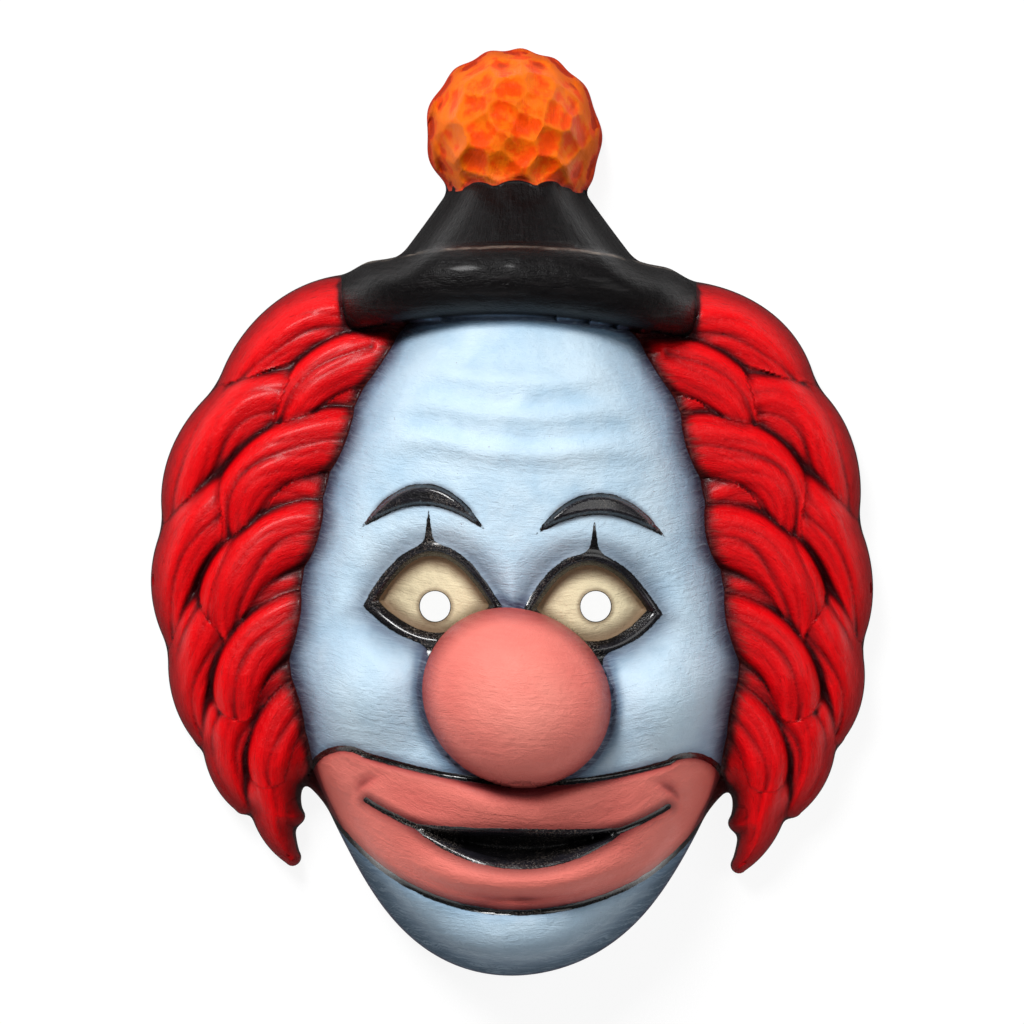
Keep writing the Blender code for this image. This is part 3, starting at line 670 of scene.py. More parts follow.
def mouth_folds(across, y):
    """The crease under the lower lip and a bent one past each end of the smile."""
    outwards, turn = smile_polar(across, y)
    share = np.abs(turn) / SMILE_HALF_ANGLE
    rising = LIP_FOLD_BELOW_MOUTH * (1 - 0.35 * share**2)
    under = hump(outwards - rising, LIP_FOLD_WIDTH) * ramp(-share, -0.72, -0.42)
    inward = 0.5 * outwards**2 / CORNER_FOLD_LENGTH
    beside = (np.abs(turn) - 0.93 * SMILE_HALF_ANGLE) * SMILE_RADIUS + inward
    ends = ramp(-np.abs(outwards), -CORNER_FOLD_LENGTH, -0.3 * CORNER_FOLD_LENGTH)
    corner = hump(beside, CORNER_FOLD_WIDTH) * ends
    return -LIP_FOLD_DEPTH * under - CORNER_FOLD_DEPTH * corner


def pompom_lumps(x, y):
    """Uneven cuts over the pompom, of no one size."""
    bend_x, bend_y = x + 0.004 * np.sin(y / 0.0061), y + 0.004 * np.sin(x / 0.0053)
    ridges = 1 - np.abs(np.sin(bend_x / 0.0062 + np.sin(bend_y / 0.0088)))
    cross = 1 - np.abs(np.sin(bend_y / 0.0071 + 1.3 * np.sin(bend_x / 0.0097)))
    return POMPOM_LUMP_DEPTH * (ridges * cross * 2 - 0.6)


def over_hair(x, y):
    """How far the face stands over the hair, without the rounding of the edge."""
    across = np.abs(x)
    return face_height(x, y) - hair_height(across, y)


def sculpted_height(outline, x, y):
    """The outer surface with its strands and lumps."""
    height = front_height(outline, x, y)
    form_x, form_y = hand_made(x, y)
    across = np.abs(form_x)
    hair_shown = ramp(-over_hair(form_x, form_y), -SLOPE, SLOPE)
    hair_shown = hair_shown * ramp(hat_distance(across, form_y), 0, SLOPE)
    hair_shown = hair_shown * ramp(face_distance(form_x, form_y), -0.012, -0.002)
    inside = ramp(-outline_distance(x, y), 0.0005, 0.006)
    strands = strand_relief(*lock_flow(across, form_y))
    on_ball = ramp(-pompom_distance(form_x, form_y), 0.001, 0.008)
    rough_ball = on_ball * pompom_lumps(x, y)
    folds = mouth_folds(across, form_y) * ramp(nose_distance(form_x, form_y), 0, 0.003)
    return height + inside * (hair_shown * strands + (1 - hair_shown) * (lumps(x, y) + folds) + rough_ball)


def hat_distance(across, y):
    hat = np.minimum(brim_distance(across, y), crown_distance(across, y))
    return np.minimum(hat, pompom_distance(across, y))


# Mesh

OUTLINE_STEP = 0.0012
COARSE_PITCH = 0.0017
BACK_PITCH = 0.0034
RING_DISTANCES = (0.0001, 0.0003, 0.0007, 0.0013, 0.0021, 0.0032, 0.0045)
BACK_RING_DISTANCES = (0.0002, 0.0008, 0.0018, 0.0035, 0.006)
HOLE_SIDES = 56
SHARP_ANGLE = math.radians(60)

# Where the mesh is finer
EYE_TO_BROW_MIDDLE = 0.014
EYE_DETAIL_REACH = 0.040
DETAIL_MARGIN = 0.003
DETAIL_OVERLAP = 0.002
EDGE_DETAIL_WIDTH = 0.004


def moved_inward(outline, distance):
    along = np.roll(outline, -1, axis=0) - np.roll(outline, 1, axis=0)
    along = along / np.hypot(along[:, 0], along[:, 1])[:, None]
    return outline + distance * np.stack([-along[:, 1], along[:, 0]], axis=1)


def needs_detail(x, y):
    """The eyes with their brows, the mouth, the hair and the hat's and the pompom's edges."""
    across = np.abs(x)
    beside_eye = np.abs(across - 1.06 * EYE_SPACING / 2) < 0.64 * EYE_WIDTH
    eyes = beside_eye & (np.abs(y - EYE_TO_BROW_MIDDLE) < EYE_DETAIL_REACH)
    mouth = (patch_distance(across, y) < DETAIL_MARGIN) & (nose_distance(across, y) > -DETAIL_OVERLAP)
    over = hat_distance(across, y)
    hair = (over_hair(x, y) < EDGE_DETAIL_WIDTH) & (over > 0)
    ball = pompom_distance(x, y) < DETAIL_OVERLAP
    return eyes | mouth | hair | ball | (np.abs(over) < EDGE_DETAIL_WIDTH)


def lattice(low, high, pitch, detailed):
    """An even lattice of triangles' corners, and half that pitch where there is detail. Also returns
    each point's own pitch."""
    fine = pitch / 2
    row_height = fine * math.sqrt(3) / 2
    rows, columns = np.mgrid[0 : (high[1] - low[1]) // row_height, 0 : (high[0] - low[0]) // fine]
    x = (low[0] + (columns + rows % 2 / 2) * fine).ravel()
    y = (low[1] + rows * row_height).ravel()
    rows, columns = rows.ravel(), columns.ravel()
    coarse = (rows % 2 == 0) & ((columns + rows // 2) % 2 == 0)
    detail = needs_detail(*hand_made(x, y)) & detailed
    kept = (coarse | detail) & (outline_distance(x, y) < 0)
    own_pitch = np.where(detail, fine, pitch)
    return x[kept], y[kept], own_pitch[kept]


def on_creases(points, inset, pitch):
    """Moves the points that lie close to an edge of a raised or sunk form onto it, so that it is sharp."""
    tiny = 1e-6
    steep = -0.0001 - inset
    creases = [(brow_distance, 0), (patch_distance, 0), (eye_distance, 0), (mouth_distance, 0)]
    creases += [(brim_edge_distance, steep), (nose_distance, steep)]
    for distance, level in creases:
        for _ in range(2):
            x, y = points.T
            here, beside, above = (
                distance(np.abs(form_x), form_y) - level
                for form_x, form_y in (hand_made(x, y), hand_made(x + tiny, y), hand_made(x, y + tiny))
            )
            slope = np.stack([beside - here, above - here], axis=1) / tiny
            move = -here[:, None] * slope / np.maximum((slope**2).sum(axis=1), 0.1)[:, None]
            points = np.where((np.abs(here) < pitch / 2)[:, None], points + move, points)
    return points


def eye_hole_loops():
    turns = np.linspace(0, 2 * math.pi, HOLE_SIDES, endpoint=False)
    ring = EYE_HOLE_DIAMETER / 2 * np.stack([np.cos(turns), np.sin(turns)], axis=1)
    return [ring + np.array([side * EYE_SPACING / 2, 0]) for side in (1, -1)]


def points_inside(outline, margin, distances, pitch, detailed):
    """Rings of points close to the edge, whose first is margin inside it, then the lattice."""
    rings = []
    for distance in distances:
        ring = moved_inward(outline, margin + distance)
        kept = edge_distance(outline, ring[:, 0], ring[:, 1]) > margin + 0.9 * distance
        rings.append(ring[kept])
    x, y, own_pitch = lattice(outline.min(axis=0), outline.max(axis=0), pitch, detailed)
    points = on_creases(np.stack([x, y], axis=1), margin, own_pitch)
    clear = edge_distance(outline, points[:, 0], points[:, 1]) > margin + distances[-1] + own_pitch / 2
    for side in (1, -1):
        from_eye = np.hypot(points[:, 0] - side * EYE_SPACING / 2, points[:, 1])
        clear &= from_eye > EYE_HOLE_DIAMETER / 2 + own_pitch / 2
    return np.concatenate([*rings, points[clear]])


def sheet(loops, points):
    """Triangles over the first loop, round the other loops, through the points; as seen from above."""
    corners = [Vector(corner) for corner in np.concatenate([*loops, points])]
    edges = []
    loop_of = np.full(len(corners), -1)
    first = 0
    for number, loop in enumerate(loops):
        edges += [(first + n, first + (n + 1) % len(loop)) for n in range(len(loop))]
        loop_of[first : first + len(loop)] = number
        first += len(loop)
    placed, _, triangles, sources, _, _ = delaunay_2d_cdt(corners, edges, [], 1, 1e-8)
    assert all(source[0] == number for number, source in enumerate(sources))
    owners = loop_of[np.array(triangles)]
    in_hole = (owners[:, 0] > 0) & (owners[:, 0] == owners[:, 1]) & (owners[:, 0] == owners[:, 2])
    return np.array(placed), np.array(triangles)[~in_hole]


def mask_skin():
    """The whole skin as a mesh in the sculpting frame, and the outline. The second material slot is
    for the bare plastic behind."""
    outline = trace_outline(OUTLINE_STEP)
    count = len(outline)
    holes = eye_hole_loops()
    front_points = points_inside(outline, 0, RING_DISTANCES, COARSE_PITCH, True)
    back_points = points_inside(outline, WALL, BACK_RING_DISTANCES, BACK_PITCH, False)
    front, front_faces = sheet([outline, *holes], front_points)
    back, back_faces = sheet([moved_inward(outline, WALL), *holes], back_points)
    front_z = sculpted_height(outline, front[:, 0], front[:, 1])
    back_z = np.maximum(back_height(outline, back[:, 0], back[:, 1]), 0)
    front_z[:count] = 0
    back_z[:count] = 0
    corners = np.concatenate([np.column_stack([front, front_z]), np.column_stack([back, back_z])])
    first_back = len(front)
    walls = []
    first = 0
    for size in (count, HOLE_SIDES, HOLE_SIDES):
        here = first + np.arange(size)
        after = first + np.roll(np.arange(size), -1)
        walls.append(np.stack([after, here, first_back + here, first_back + after], axis=1))
        first += size
    walls[1:] = [wall[:, ::-1] for wall in walls[1:]]
    behind = (first_back + back_faces)[:, ::-1]
    rim, *hole_walls = walls
    faces = [*front_faces.tolist(), *np.concatenate(hole_walls).tolist(), *behind.tolist(), *rim.tolist()]
    mesh = bpy.data.meshes.new("painted_mask")
    mesh.from_pydata(corners.tolist(), [], faces)
    painted = len(front_faces) + 2 * HOLE_SIDES
    bare = np.zeros(len(faces), dtype=np.int32)
    bare[painted:] = 1
    mesh.polygons.foreach_set("material_index", bare)
    return mesh, outline


# Paint: how wide the lines are and how far the guides reach

LINER_WIDTH = 0.0046
LINER_POINT_ABOVE = 0.036
LINER_POINT_BELOW = 0.033
LINER_POINT_HALF_WIDTH = 0.0052
LINER_POINT_SHIFT = 0.0015
LINER_BLEND = 0.004
STROKE_CENTRE_ABOVE_EYES = 0.260
HAT_PAINT_OVERLAP = 0.0004
CAVITY_CELL = 0.0008
CAVITY_MARGIN = 0.004
CAVITY_NARROW = 0.0016
CAVITY_WIDE = 0.0050
GUIDE_LIMIT = 0.060


# What the paint follows

def smile_line_distance(across, y):
    """The distance to the line drawn where the lips meet, past both corners of the open mouth."""
    outwards, turn = smile_polar(across, y)
    past_end = np.maximum(np.abs(turn) - 0.86 * SMILE_HALF_ANGLE, 0) * SMILE_RADIUS
    return np.hypot(outwards, past_end)


def liner_distance(across, y):
    """The black round an eye: a band along the lids with a long point above and one below."""
    band = eye_distance(across, y) - LINER_WIDTH
    beside = np.abs(across - EYE_SPACING / 2 - LINER_POINT_SHIFT)
    high = LINER_POINT_ABOVE * (1 - beside / LINER_POINT_HALF_WIDTH)
    low = LINER_POINT_BELOW * (1 - beside / LINER_POINT_HALF_WIDTH)
    slope = LINER_POINT_HALF_WIDTH / np.hypot(LINER_POINT_ABOVE, LINER_POINT_HALF_WIDTH)
    point = np.maximum(y - high, -y - low) * slope
    return blended_min(band, point, LINER_BLEND)


def blurred(grid, radius):
    """A grid smoothed by a bell curve whose width is radius cells."""
    reach = int(3 * radius)
    weights = np.exp(-((np.arange(-reach, reach + 1) / radius) ** 2) / 2)
    weights /= weights.sum()
    for axis in (0, 1):
        padded = np.pad(grid, [(reach, reach) if n == axis else (0, 0) for n in (0, 1)], mode="edge")
        smooth = 0
        for shift, weight in enumerate(weights):
            window = [slice(None), slice(None)]
            window[axis] = slice(shift, shift + grid.shape[axis])
            smooth = smooth + weight * padded[tuple(window)]
        grid = smooth
    return grid


def standing_out(outline, x, y):
    """How far each point stands over its surroundings, in a narrow and in a wide ring round it."""
    low = outline.min(axis=0) - CAVITY_MARGIN
    high = outline.max(axis=0) + CAVITY_MARGIN
    grid_x = np.arange(low[0], high[0], CAVITY_CELL)
    grid_y = np.arange(low[1], high[1], CAVITY_CELL)
    height = sculpted_height(outline, *np.meshgrid(grid_x, grid_y))
    column = np.clip((x - low[0]) / CAVITY_CELL, 0, len(grid_x) - 1.001)
    row = np.clip((y - low[1]) / CAVITY_CELL, 0, len(grid_y) - 1.001)
    left, below = column.astype(int), row.astype(int)
    right_share, above_share = column - left, row - below
    found = []
    for radius in (CAVITY_NARROW, CAVITY_WIDE):
        field = height - blurred(height, radius / CAVITY_CELL)
        lower = field[below, left] * (1 - right_share) + field[below, left + 1] * right_share
        upper = field[below + 1, left] * (1 - right_share) + field[below + 1, left + 1] * right_share
        found.append(lower * (1 - above_share) + upper * above_share)
    return found


def brush_directions(across, x, y):
    """Where each point lies in the brush's strokes: the distance along them and across them."""
    number, along, beside = lock_flow(across, y)
    above = STROKE_CENTRE_ABOVE_EYES - y
    stroke = np.arctan2(x, above) * STROKE_CENTRE_ABOVE_EYES
    side = np.hypot(x, above)
    hair = over_hair(x, y) < 0
    brim = brim_edge_distance(across, y) < 0
    crown = (y > BRIM_ABOVE_EYES) & ~brim
    smile, smile_turn = smile_polar(across, y)
    for shown, here, beside_here in (
        (hair, along, beside * LOCK_WIDTH / 2),
        (crown, y, x * CROWN_WIDTH / 2 / crown_half_width(y)),
        (brim & (hat_distance(across, y) < 0), x, y),
        (patch_distance(across, y) < 0, smile_turn * SMILE_RADIUS * np.sign(x), smile),
    ):
        stroke = np.where(shown, here, stroke)
        side = np.where(shown, beside_here, side)
    seed = np.where(hair, number, 0)
    return np.stack([stroke, side, 0.05 * seed], axis=1)


def add_paint_guides(mesh, outline):
    """Stores what the paint follows on the mesh's points, with distances in millimetres."""
    corners = np.empty(3 * len(mesh.vertices))
    mesh.vertices.foreach_get("co", corners)
    flat_x, flat_y, _ = corners.reshape(-1, 3).T
    x, y = hand_made(flat_x, flat_y)
    across = np.abs(x)
    narrow, wide = standing_out(outline, flat_x, flat_y)
    brim_low = brim_line(across) - BRIM_THICKNESS / 2
    brim = brim_height(across, np.maximum(y, brim_low + HAT_PAINT_OVERLAP))
    hat_height = np.maximum(brim, crown_height(across, y))
    pompom = pompom_height(x, y)
    other = np.maximum(face_height(x, y), hair_height(across, y))
    hat_over = np.minimum(hat_height - other, 0.2 * FACE_DEPTH)
    hole = np.hypot(np.abs(flat_x) - EYE_SPACING / 2, flat_y) - EYE_HOLE_DIAMETER / 2
    guides = {
        "over_hair": over_hair(x, y),
        "face_edge": -face_distance(x, y),
        "eye": eye_distance(across, y),
        "liner": liner_distance(across, y),
        "eye_hole": hole,
        "brow": brow_distance(across, y),
        "patch": patch_distance(across, y),
        "mouth": mouth_distance(across, y),
        "smile_line": smile_line_distance(across, y),
        "nose": nose_distance(x, y),
        "over_hat": np.maximum(-hat_over, brim_low - 2 * HAT_PAINT_OVERLAP - y),
        "brim_lip": y - brim_line(across) - BRIM_THICKNESS / 2,
        "pompom": -np.clip(pompom - hat_height - (pompom <= 0), -0.002, 0.002),
        "narrow": narrow,
        "wide": wide,
        "edge": edge_distance(outline, flat_x, flat_y),
    }
    for name, distance in guides.items():
        limited = np.clip(distance, -GUIDE_LIMIT, GUIDE_LIMIT) * 1000
        mesh.attributes.new(name, "FLOAT", "POINT").data.foreach_set("value", limited.astype(np.float32))
    strokes = brush_directions(across, x, y).astype(np.float32)
    mesh.attributes.new("strokes", "FLOAT_VECTOR", "POINT").data.foreach_set("vector", strokes.ravel())


# Materials

def srgb(red, green, blue):
    """A colour as seen on screen, 0 to 255, as linear RGBA."""
    shares = [channel / 255 for channel in (red, green, blue)]
    linear = [((s + 0.055) / 1.055) ** 2.4 if s > 0.04045 else s / 12.92 for s in shares]
    return (*linear, 1.0)


class Paint:
    """A material's nodes, made by calls that read like sums. Every call returns an output socket."""

    def __init__(self, name):
        self.material = bpy.data.materials.new(name)
        self.material.use_nodes = True
        self.nodes = self.material.node_tree.nodes
        self.links = self.material.node_tree.links
        self.shader = self.nodes["Principled BSDF"]

    def feed(self, socket, source):
        if isinstance(source, bpy.types.NodeSocket):
            self.links.new(source, socket)
        else:
            socket.default_value = source

    def node(self, kind, sources):
        """A new node whose inputs, by name or number, are fed from sources."""
        node = self.nodes.new("ShaderNode" + kind)
        for name, source in sources.items():
            self.feed(node.inputs[name], source)
        return node

    def math(self, operation, *sources):
        node = self.node("Math", dict(enumerate(sources)))
        node.operation = operation
        return node.outputs[0]

    def add(self, first, second):
        return self.math("ADD", first, second)

    def times(self, first, second):
        return self.math("MULTIPLY", first, second)

    def step(self, value, start, end, low=0.0, high=1.0):
        """low before start, high after end, and smooth between; start may be the larger."""
        sources = {"Value": value, "From Min": start, "From Max": end, "To Min": low, "To Max": high}
        node = self.node("MapRange", sources)
        node.interpolation_type = "SMOOTHSTEP"
        return node.outputs[0]

    def guide(self, name):
        node = self.node("Attribute", {})
        node.attribute_name = name
        return node.outputs["Vector" if name == "strokes" else "Fac"]

    def position(self):
        return self.node("TexCoord", {}).outputs["Object"]

    def stretched(self, vector, scales):
        node = self.node("VectorMath", {0: vector, 1: scales})
        node.operation = "MULTIPLY"
        return node.outputs[0]

    def bent(self, vector, share, reach):
        """The vector moved sideways by reach times how far share is from a half."""
        shift = self.node("CombineXYZ", {"Y": self.times(self.add(share, -0.5), reach)})
        return self.node("VectorMath", {0: vector, 1: shift.outputs[0]}).outputs[0]

    def noise(self, vector, scale, detail=3.0, roughness=0.55):
        sources = {"Vector": vector, "Scale": scale, "Detail": detail, "Roughness": roughness}
        return self.node("TexNoise", sources).outputs["Fac"]

    def cells(self, vector, scale):
        return self.node("TexVoronoi", {"Vector": vector, "Scale": scale}).outputs["Distance"]

    def mixed(self, data_type, numbers, share, first, second):
        """A mix node of this data type, whose inputs and output have these numbers."""
        node = self.node("Mix", {})
        node.data_type = data_type
        for number, source in zip(numbers, (share, first, second)):
            self.feed(node.inputs[number], source)
        return node.outputs[numbers[3]]

    def mix(self, share, first, second):
        return self.mixed("RGBA", (0, 6, 7, 2), share, first, second)

    def wash(self, under, colour, value, start, end, most=1.0):
        """The colour over what is under it: none where value is start, most where it is end."""
        return self.mix(self.step(value, start, end, 0.0, most), under, colour)

    def blend_value(self, share, first, second):
        return self.mixed("FLOAT", (0, 2, 3, 0), share, first, second)

    def bump(self, height, distance):
        return self.node("Bump", {"Distance": distance, "Height": height}).outputs["Normal"]


# Colours of the paint, read off the photograph
# The palest face colour also serves as painted highlight on raised forms
FACE_LIGHT = srgb(208, 230, 245)
FACE_MID = srgb(178, 208, 230)
# The next three are painted shade: in hollows, round the forms, towards the edge and down the flanks
FACE_SHADE = srgb(104, 138, 168)
FACE_DEEP_SHADE = srgb(58, 52, 74)
FACE_RIM_SHADE = srgb(46, 66, 84)
# The palest pink is also the painted highlight on the middle of the nose ball
NOSE_LIGHT = srgb(250, 148, 134)
NOSE_MID = srgb(236, 120, 110)
# Painted shade towards the nose ball's edge
NOSE_SHADE = srgb(150, 54, 56)
PATCH_MID = srgb(214, 100, 93)
# Painted highlight on the raised lips, also lighter brush streaks
LIP_LIGHT = srgb(238, 128, 116)
# Painted shade in the patch's folds and lines, and also the red of the face's specks
PATCH_SHADE_AND_SPECKS = srgb(96, 30, 34)
EYE_CREAM = srgb(236, 221, 184)
# Also painted shade under the raised lids
EYE_BROWN = srgb(96, 66, 44)
BLACK = srgb(9, 8, 10)
# Painted glint on the black lines
BLACK_GLINT = srgb(44, 42, 50)
BLACK_SPECK = srgb(128, 118, 110)
# Painted highlight on the strands' ridges
HAIR_HIGHLIGHT = srgb(238, 4, 14)
HAIR_MID = srgb(186, 3, 12)
# Painted shade in the hair's grooves and hollows, under the face's edge and down the flanks, and its dark
# streaks
HAIR_SHADE_AND_STREAKS = srgb(48, 3, 8)
HAIR_DULL = srgb(112, 40, 34)
HAT_BLACK = srgb(8, 6, 7)
HAT_STREAK = srgb(26, 21, 22)
HAT_EDGE = srgb(128, 116, 106)
POMPOM_LIGHT = srgb(255, 116, 10)
POMPOM_MID = srgb(255, 78, 2)
# Painted shade in the pompom's dimples and towards the outline
POMPOM_SHADE = srgb(168, 34, 2)
# A grey wash and painted shade where the pompom meets the hat
POMPOM_WASH_AND_SHADE = srgb(116, 78, 84)
PAINT_SPECULAR = 0.14
VARNISH_ROUGHNESS = 0.18


def paint_material():
    p = Paint("hand_paint")
    place = p.position()
    strokes = p.guide("strokes")
    wobble = p.add(p.times(p.noise(place, 170), 1.1), -0.55)
    shake = p.add(p.times(p.noise(place, 900, 2.0), 0.5), -0.25)
    hand = p.add(wobble, shake)
    bent = p.bent(strokes, p.noise(place, 60, 3.0), 0.006)
    long_strokes = p.noise(p.stretched(bent, (70, 620, 1000)), 1.0, 4.0, 0.6)
    fine_strokes = p.noise(p.stretched(bent, (190, 2200, 1000)), 1.0, 2.0, 0.5)
    blotches = p.noise(place, 38, 5.0, 0.6)
    patches = p.noise(place, 12, 3.0, 0.5)
    narrow, wide = p.guide("narrow"), p.guide("wide")

    def inside(name, level=0.0, soft=0.14, hand_share=1.0):
        """1 where a guide is below a level, with an edge that wanders as a hand does."""
        return p.step(p.add(p.guide(name), p.times(hand, hand_share)), level + soft, level - soft)

    def near(name, start, end, high=1.0):
        """high where a guide is at start, fading to 0 at end, like a sprayed edge."""
        return p.step(p.add(p.guide(name), p.times(wobble, 2.0)), start, end, high, 0.0)

    def streaked(low, high):
        """A share that varies from stroke to stroke."""
        return p.step(long_strokes, 0.35, 0.65, low, high)

    # The face: painted shade towards its edge, down its flanks, round each form and in its hollows, over
    # the real mask's airbrushed darkening there, and painted highlight on its raised forms
    face = p.mix(p.step(p.add(blotches, p.times(patches, 0.5)), 0.55, 0.95), FACE_MID, FACE_LIGHT)
    # Painted highlight where the face stands up, painted shade where it sinks
    face = p.mix(p.times(p.step(wide, -0.6, 2.4), 0.55), face, FACE_LIGHT)
    face = p.mix(p.times(p.step(wide, -0.4, -3.4), 0.75), face, FACE_SHADE)
    # Painted shade towards the face's edge and down its flanks
    face = p.wash(face, FACE_SHADE, p.guide("face_edge"), 26, 3, 0.80)
    face = p.wash(face, FACE_RIM_SHADE, p.add(p.guide("edge"), p.times(wobble, 3)), 20, 0, 0.95)
    # Painted shade round the patch, in the eye sockets, round the nose, in fine creases and at the hairline
    face = p.mix(near("patch", 0.0, 6.0, 0.50), face, FACE_SHADE)
    face = p.mix(near("eye", 4.0, 14.0, 0.62), face, FACE_DEEP_SHADE)
    face = p.mix(near("nose", 0.0, 8.0, 0.70), face, FACE_DEEP_SHADE)
    face = p.mix(p.times(p.step(narrow, -0.05, -0.9), 0.65), face, FACE_DEEP_SHADE)
    face = p.wash(face, FACE_DEEP_SHADE, p.add(p.guide("over_hair"), p.times(wobble, 4)), 17, 0, 0.9)
    face = p.mix(p.times(streaked(0.0, 0.16), p.step(fine_strokes, 0.4, 0.6)), face, FACE_LIGHT)
    red_specks = p.times(p.step(p.cells(place, 260), 0.09, 0.04), p.step(blotches, 0.5, 0.62, 0.0, 0.5))
    face = p.mix(red_specks, face, PATCH_SHADE_AND_SPECKS)

    # The patch round the mouth, with painted highlight on its raised lips and painted shade in its folds
    patch = p.mix(p.step(wide, -0.8, 1.6), PATCH_MID, LIP_LIGHT)
    patch = p.mix(streaked(0.0, 0.25), patch, LIP_LIGHT)
    # Painted shade at the patch's rim, in its hollows and creases, along the lips' line, into the mouth and
    # under the nose
    patch = p.wash(patch, PATCH_SHADE_AND_SPECKS, p.guide("patch"), -6, 0, 0.55)
    patch = p.wash(patch, PATCH_SHADE_AND_SPECKS, wide, -0.3, -2.4, 0.85)
    patch = p.wash(patch, PATCH_SHADE_AND_SPECKS, narrow, -0.08, -0.6, 0.8)
    patch = p.wash(patch, PATCH_SHADE_AND_SPECKS, p.guide("smile_line"), 5.5, 0.8, 0.7)
    patch = p.wash(patch, PATCH_SHADE_AND_SPECKS, p.guide("mouth"), 6, 0.5, 0.75)
    patch = p.mix(near("nose", 0.0, 9.0, 0.75), patch, PATCH_SHADE_AND_SPECKS)
    colour = p.mix(inside("patch"), face, patch)

    # The eyes: brown towards the lids, which is the real mask's airbrushing and also painted shade under
    # the raised lids
    eye = p.mix(p.step(p.guide("eye"), -7.5, -0.6, 0.0, 0.85), EYE_CREAM, EYE_BROWN)
    eye = p.mix(p.times(p.step(blotches, 0.45, 0.7), 0.35), eye, EYE_BROWN)
    eye = p.wash(eye, EYE_BROWN, p.guide("eye_hole"), 2.2, 0.5, 0.55)
    eye = p.wash(eye, BLACK, p.guide("eye_hole"), 0.45, 0.15)

    # Black lines: round the patch, between the lips, round the eyes and the brows
    line = p.math("ABSOLUTE", p.add(p.guide("patch"), p.times(hand, 0.8)))
    black = p.step(line, 1.35, 1.0)
    smile = p.step(p.add(p.guide("smile_line"), p.times(hand, 0.8)), 1.25, 0.95)
    black = p.math("MAXIMUM", black, smile)
    for name, level in (("mouth", 1.0), ("liner", 0.0), ("brow", 0.0)):
        black = p.math("MAXIMUM", black, inside(name, level))
    # Painted glint: the black is paler where the lines stand up, broken by the strokes
    ink = p.mix(p.times(p.step(narrow, 0.05, 0.7), streaked(0.1, 0.6)), BLACK, BLACK_GLINT)
    specks = p.times(p.step(p.noise(place, 1400, 3.0, 0.7), 0.52, 0.66), p.step(blotches, 0.42, 0.62))
    ink = p.mix(p.times(specks, 0.75), ink, BLACK_SPECK)
    colour = p.mix(black, colour, ink)
    in_eye = inside("eye", 0.0, 0.14, 0.6)
    colour = p.mix(in_eye, colour, eye)

    # The hair, with painted highlight on its ridges and painted shade, nearly black, in its grooves and
    # hollows, under the face's edge and down its flanks
    # Painted highlight on the strands' ridges
    red = p.mix(p.step(p.add(narrow, p.times(long_strokes, 0.5)), 0.0, 0.75), HAIR_MID, HAIR_HIGHLIGHT)
    # Painted shade in the grooves and hollows and where the hair runs under the face
    red = p.wash(red, HAIR_SHADE_AND_STREAKS, narrow, 0.10, -0.80, 0.92)
    red = p.wash(red, HAIR_SHADE_AND_STREAKS, wide, -0.3, -4.0, 0.85)
    red = p.wash(red, HAIR_SHADE_AND_STREAKS, p.guide("over_hair"), -18, -1, 0.65)
    dull = p.times(p.step(p.guide("over_hair"), -30, -6, 0.0, 0.75), p.step(long_strokes, 0.45, 0.68))
    red = p.mix(dull, red, HAIR_DULL)
    red = p.wash(red, HAIR_SHADE_AND_STREAKS, fine_strokes, 0.42, 0.28, 0.40)
    # Painted shade down the flanks
    red = p.wash(red, HAIR_SHADE_AND_STREAKS, p.add(p.guide("edge"), p.times(wobble, 3)), 10, 0, 0.75)
    beside_face = p.step(p.add(p.guide("over_hair"), hand), 0.3, -0.3)
    colour = p.mix(beside_face, colour, red)

    # The nose, with a painted highlight on the middle of the ball and painted shade towards its edge
    # Painted highlight: paler in the middle of the ball
    pink = p.mix(p.step(p.guide("nose"), -26, -8, 0.0, 0.75), NOSE_LIGHT, NOSE_MID)
    pink = p.mix(p.times(p.step(blotches, 0.4, 0.75), 0.4), pink, NOSE_MID)
    # Painted shade towards the ball's edge
    pink = p.wash(pink, NOSE_SHADE, p.guide("nose"), -7, 0.5, 0.8)
    pink = p.mix(streaked(0.0, 0.16), pink, NOSE_LIGHT)
    on_nose = p.step(p.guide("nose"), 0.5, 0.2)
    colour = p.mix(on_nose, colour, pink)

    # The hat, with a broken pale line along the brim's upper edge
    hat = p.mix(p.times(p.step(long_strokes, 0.50, 0.75), 0.6), HAT_BLACK, HAT_STREAK)
    lip = p.step(p.math("ABSOLUTE", p.add(p.guide("brim_lip"), p.add(1.2, wobble))), 0.9, 0.2)
    hat = p.mix(p.times(p.times(lip, p.step(blotches, 0.42, 0.6)), streaked(0.2, 0.9)), hat, HAT_EDGE)
    on_hat = p.step(p.guide("over_hat"), 0.4, -0.4)
    colour = p.mix(on_hat, colour, hat)

    # The pompom, with painted shade in its dimples and towards the mask's outline, a little painted
    # highlight on its lumps, and a grey wash with painted shade where it meets the hat
    dapple = p.noise(place, 110, 3.0, 0.6)
    orange = p.mix(p.step(p.add(dapple, p.times(narrow, 0.12)), 0.42, 0.62), POMPOM_MID, POMPOM_LIGHT)
    # Painted shade in the dimples and towards the outline
    orange = p.wash(orange, POMPOM_SHADE, p.add(narrow, p.times(dapple, 0.8)), 0.22, -0.55, 0.7)
    orange = p.wash(orange, POMPOM_SHADE, p.guide("edge"), 7, 0.0, 0.5)
    # A grey wash and painted shade where the pompom meets the hat
    orange = p.wash(orange, POMPOM_WASH_AND_SHADE, p.add(p.guide("brim_lip"), p.times(wobble, 12)), 32, 12, 0.85)
    on_pompom = p.step(p.guide("pompom"), 0.3, -0.3)
    colour = p.mix(on_pompom, colour, orange)
    p.feed(p.shader.inputs["Base Color"], colour)
    p.shader.inputs["Specular IOR Level"].default_value = PAINT_SPECULAR
    p.shader.inputs["Coat Roughness"].default_value = VARNISH_ROUGHNESS

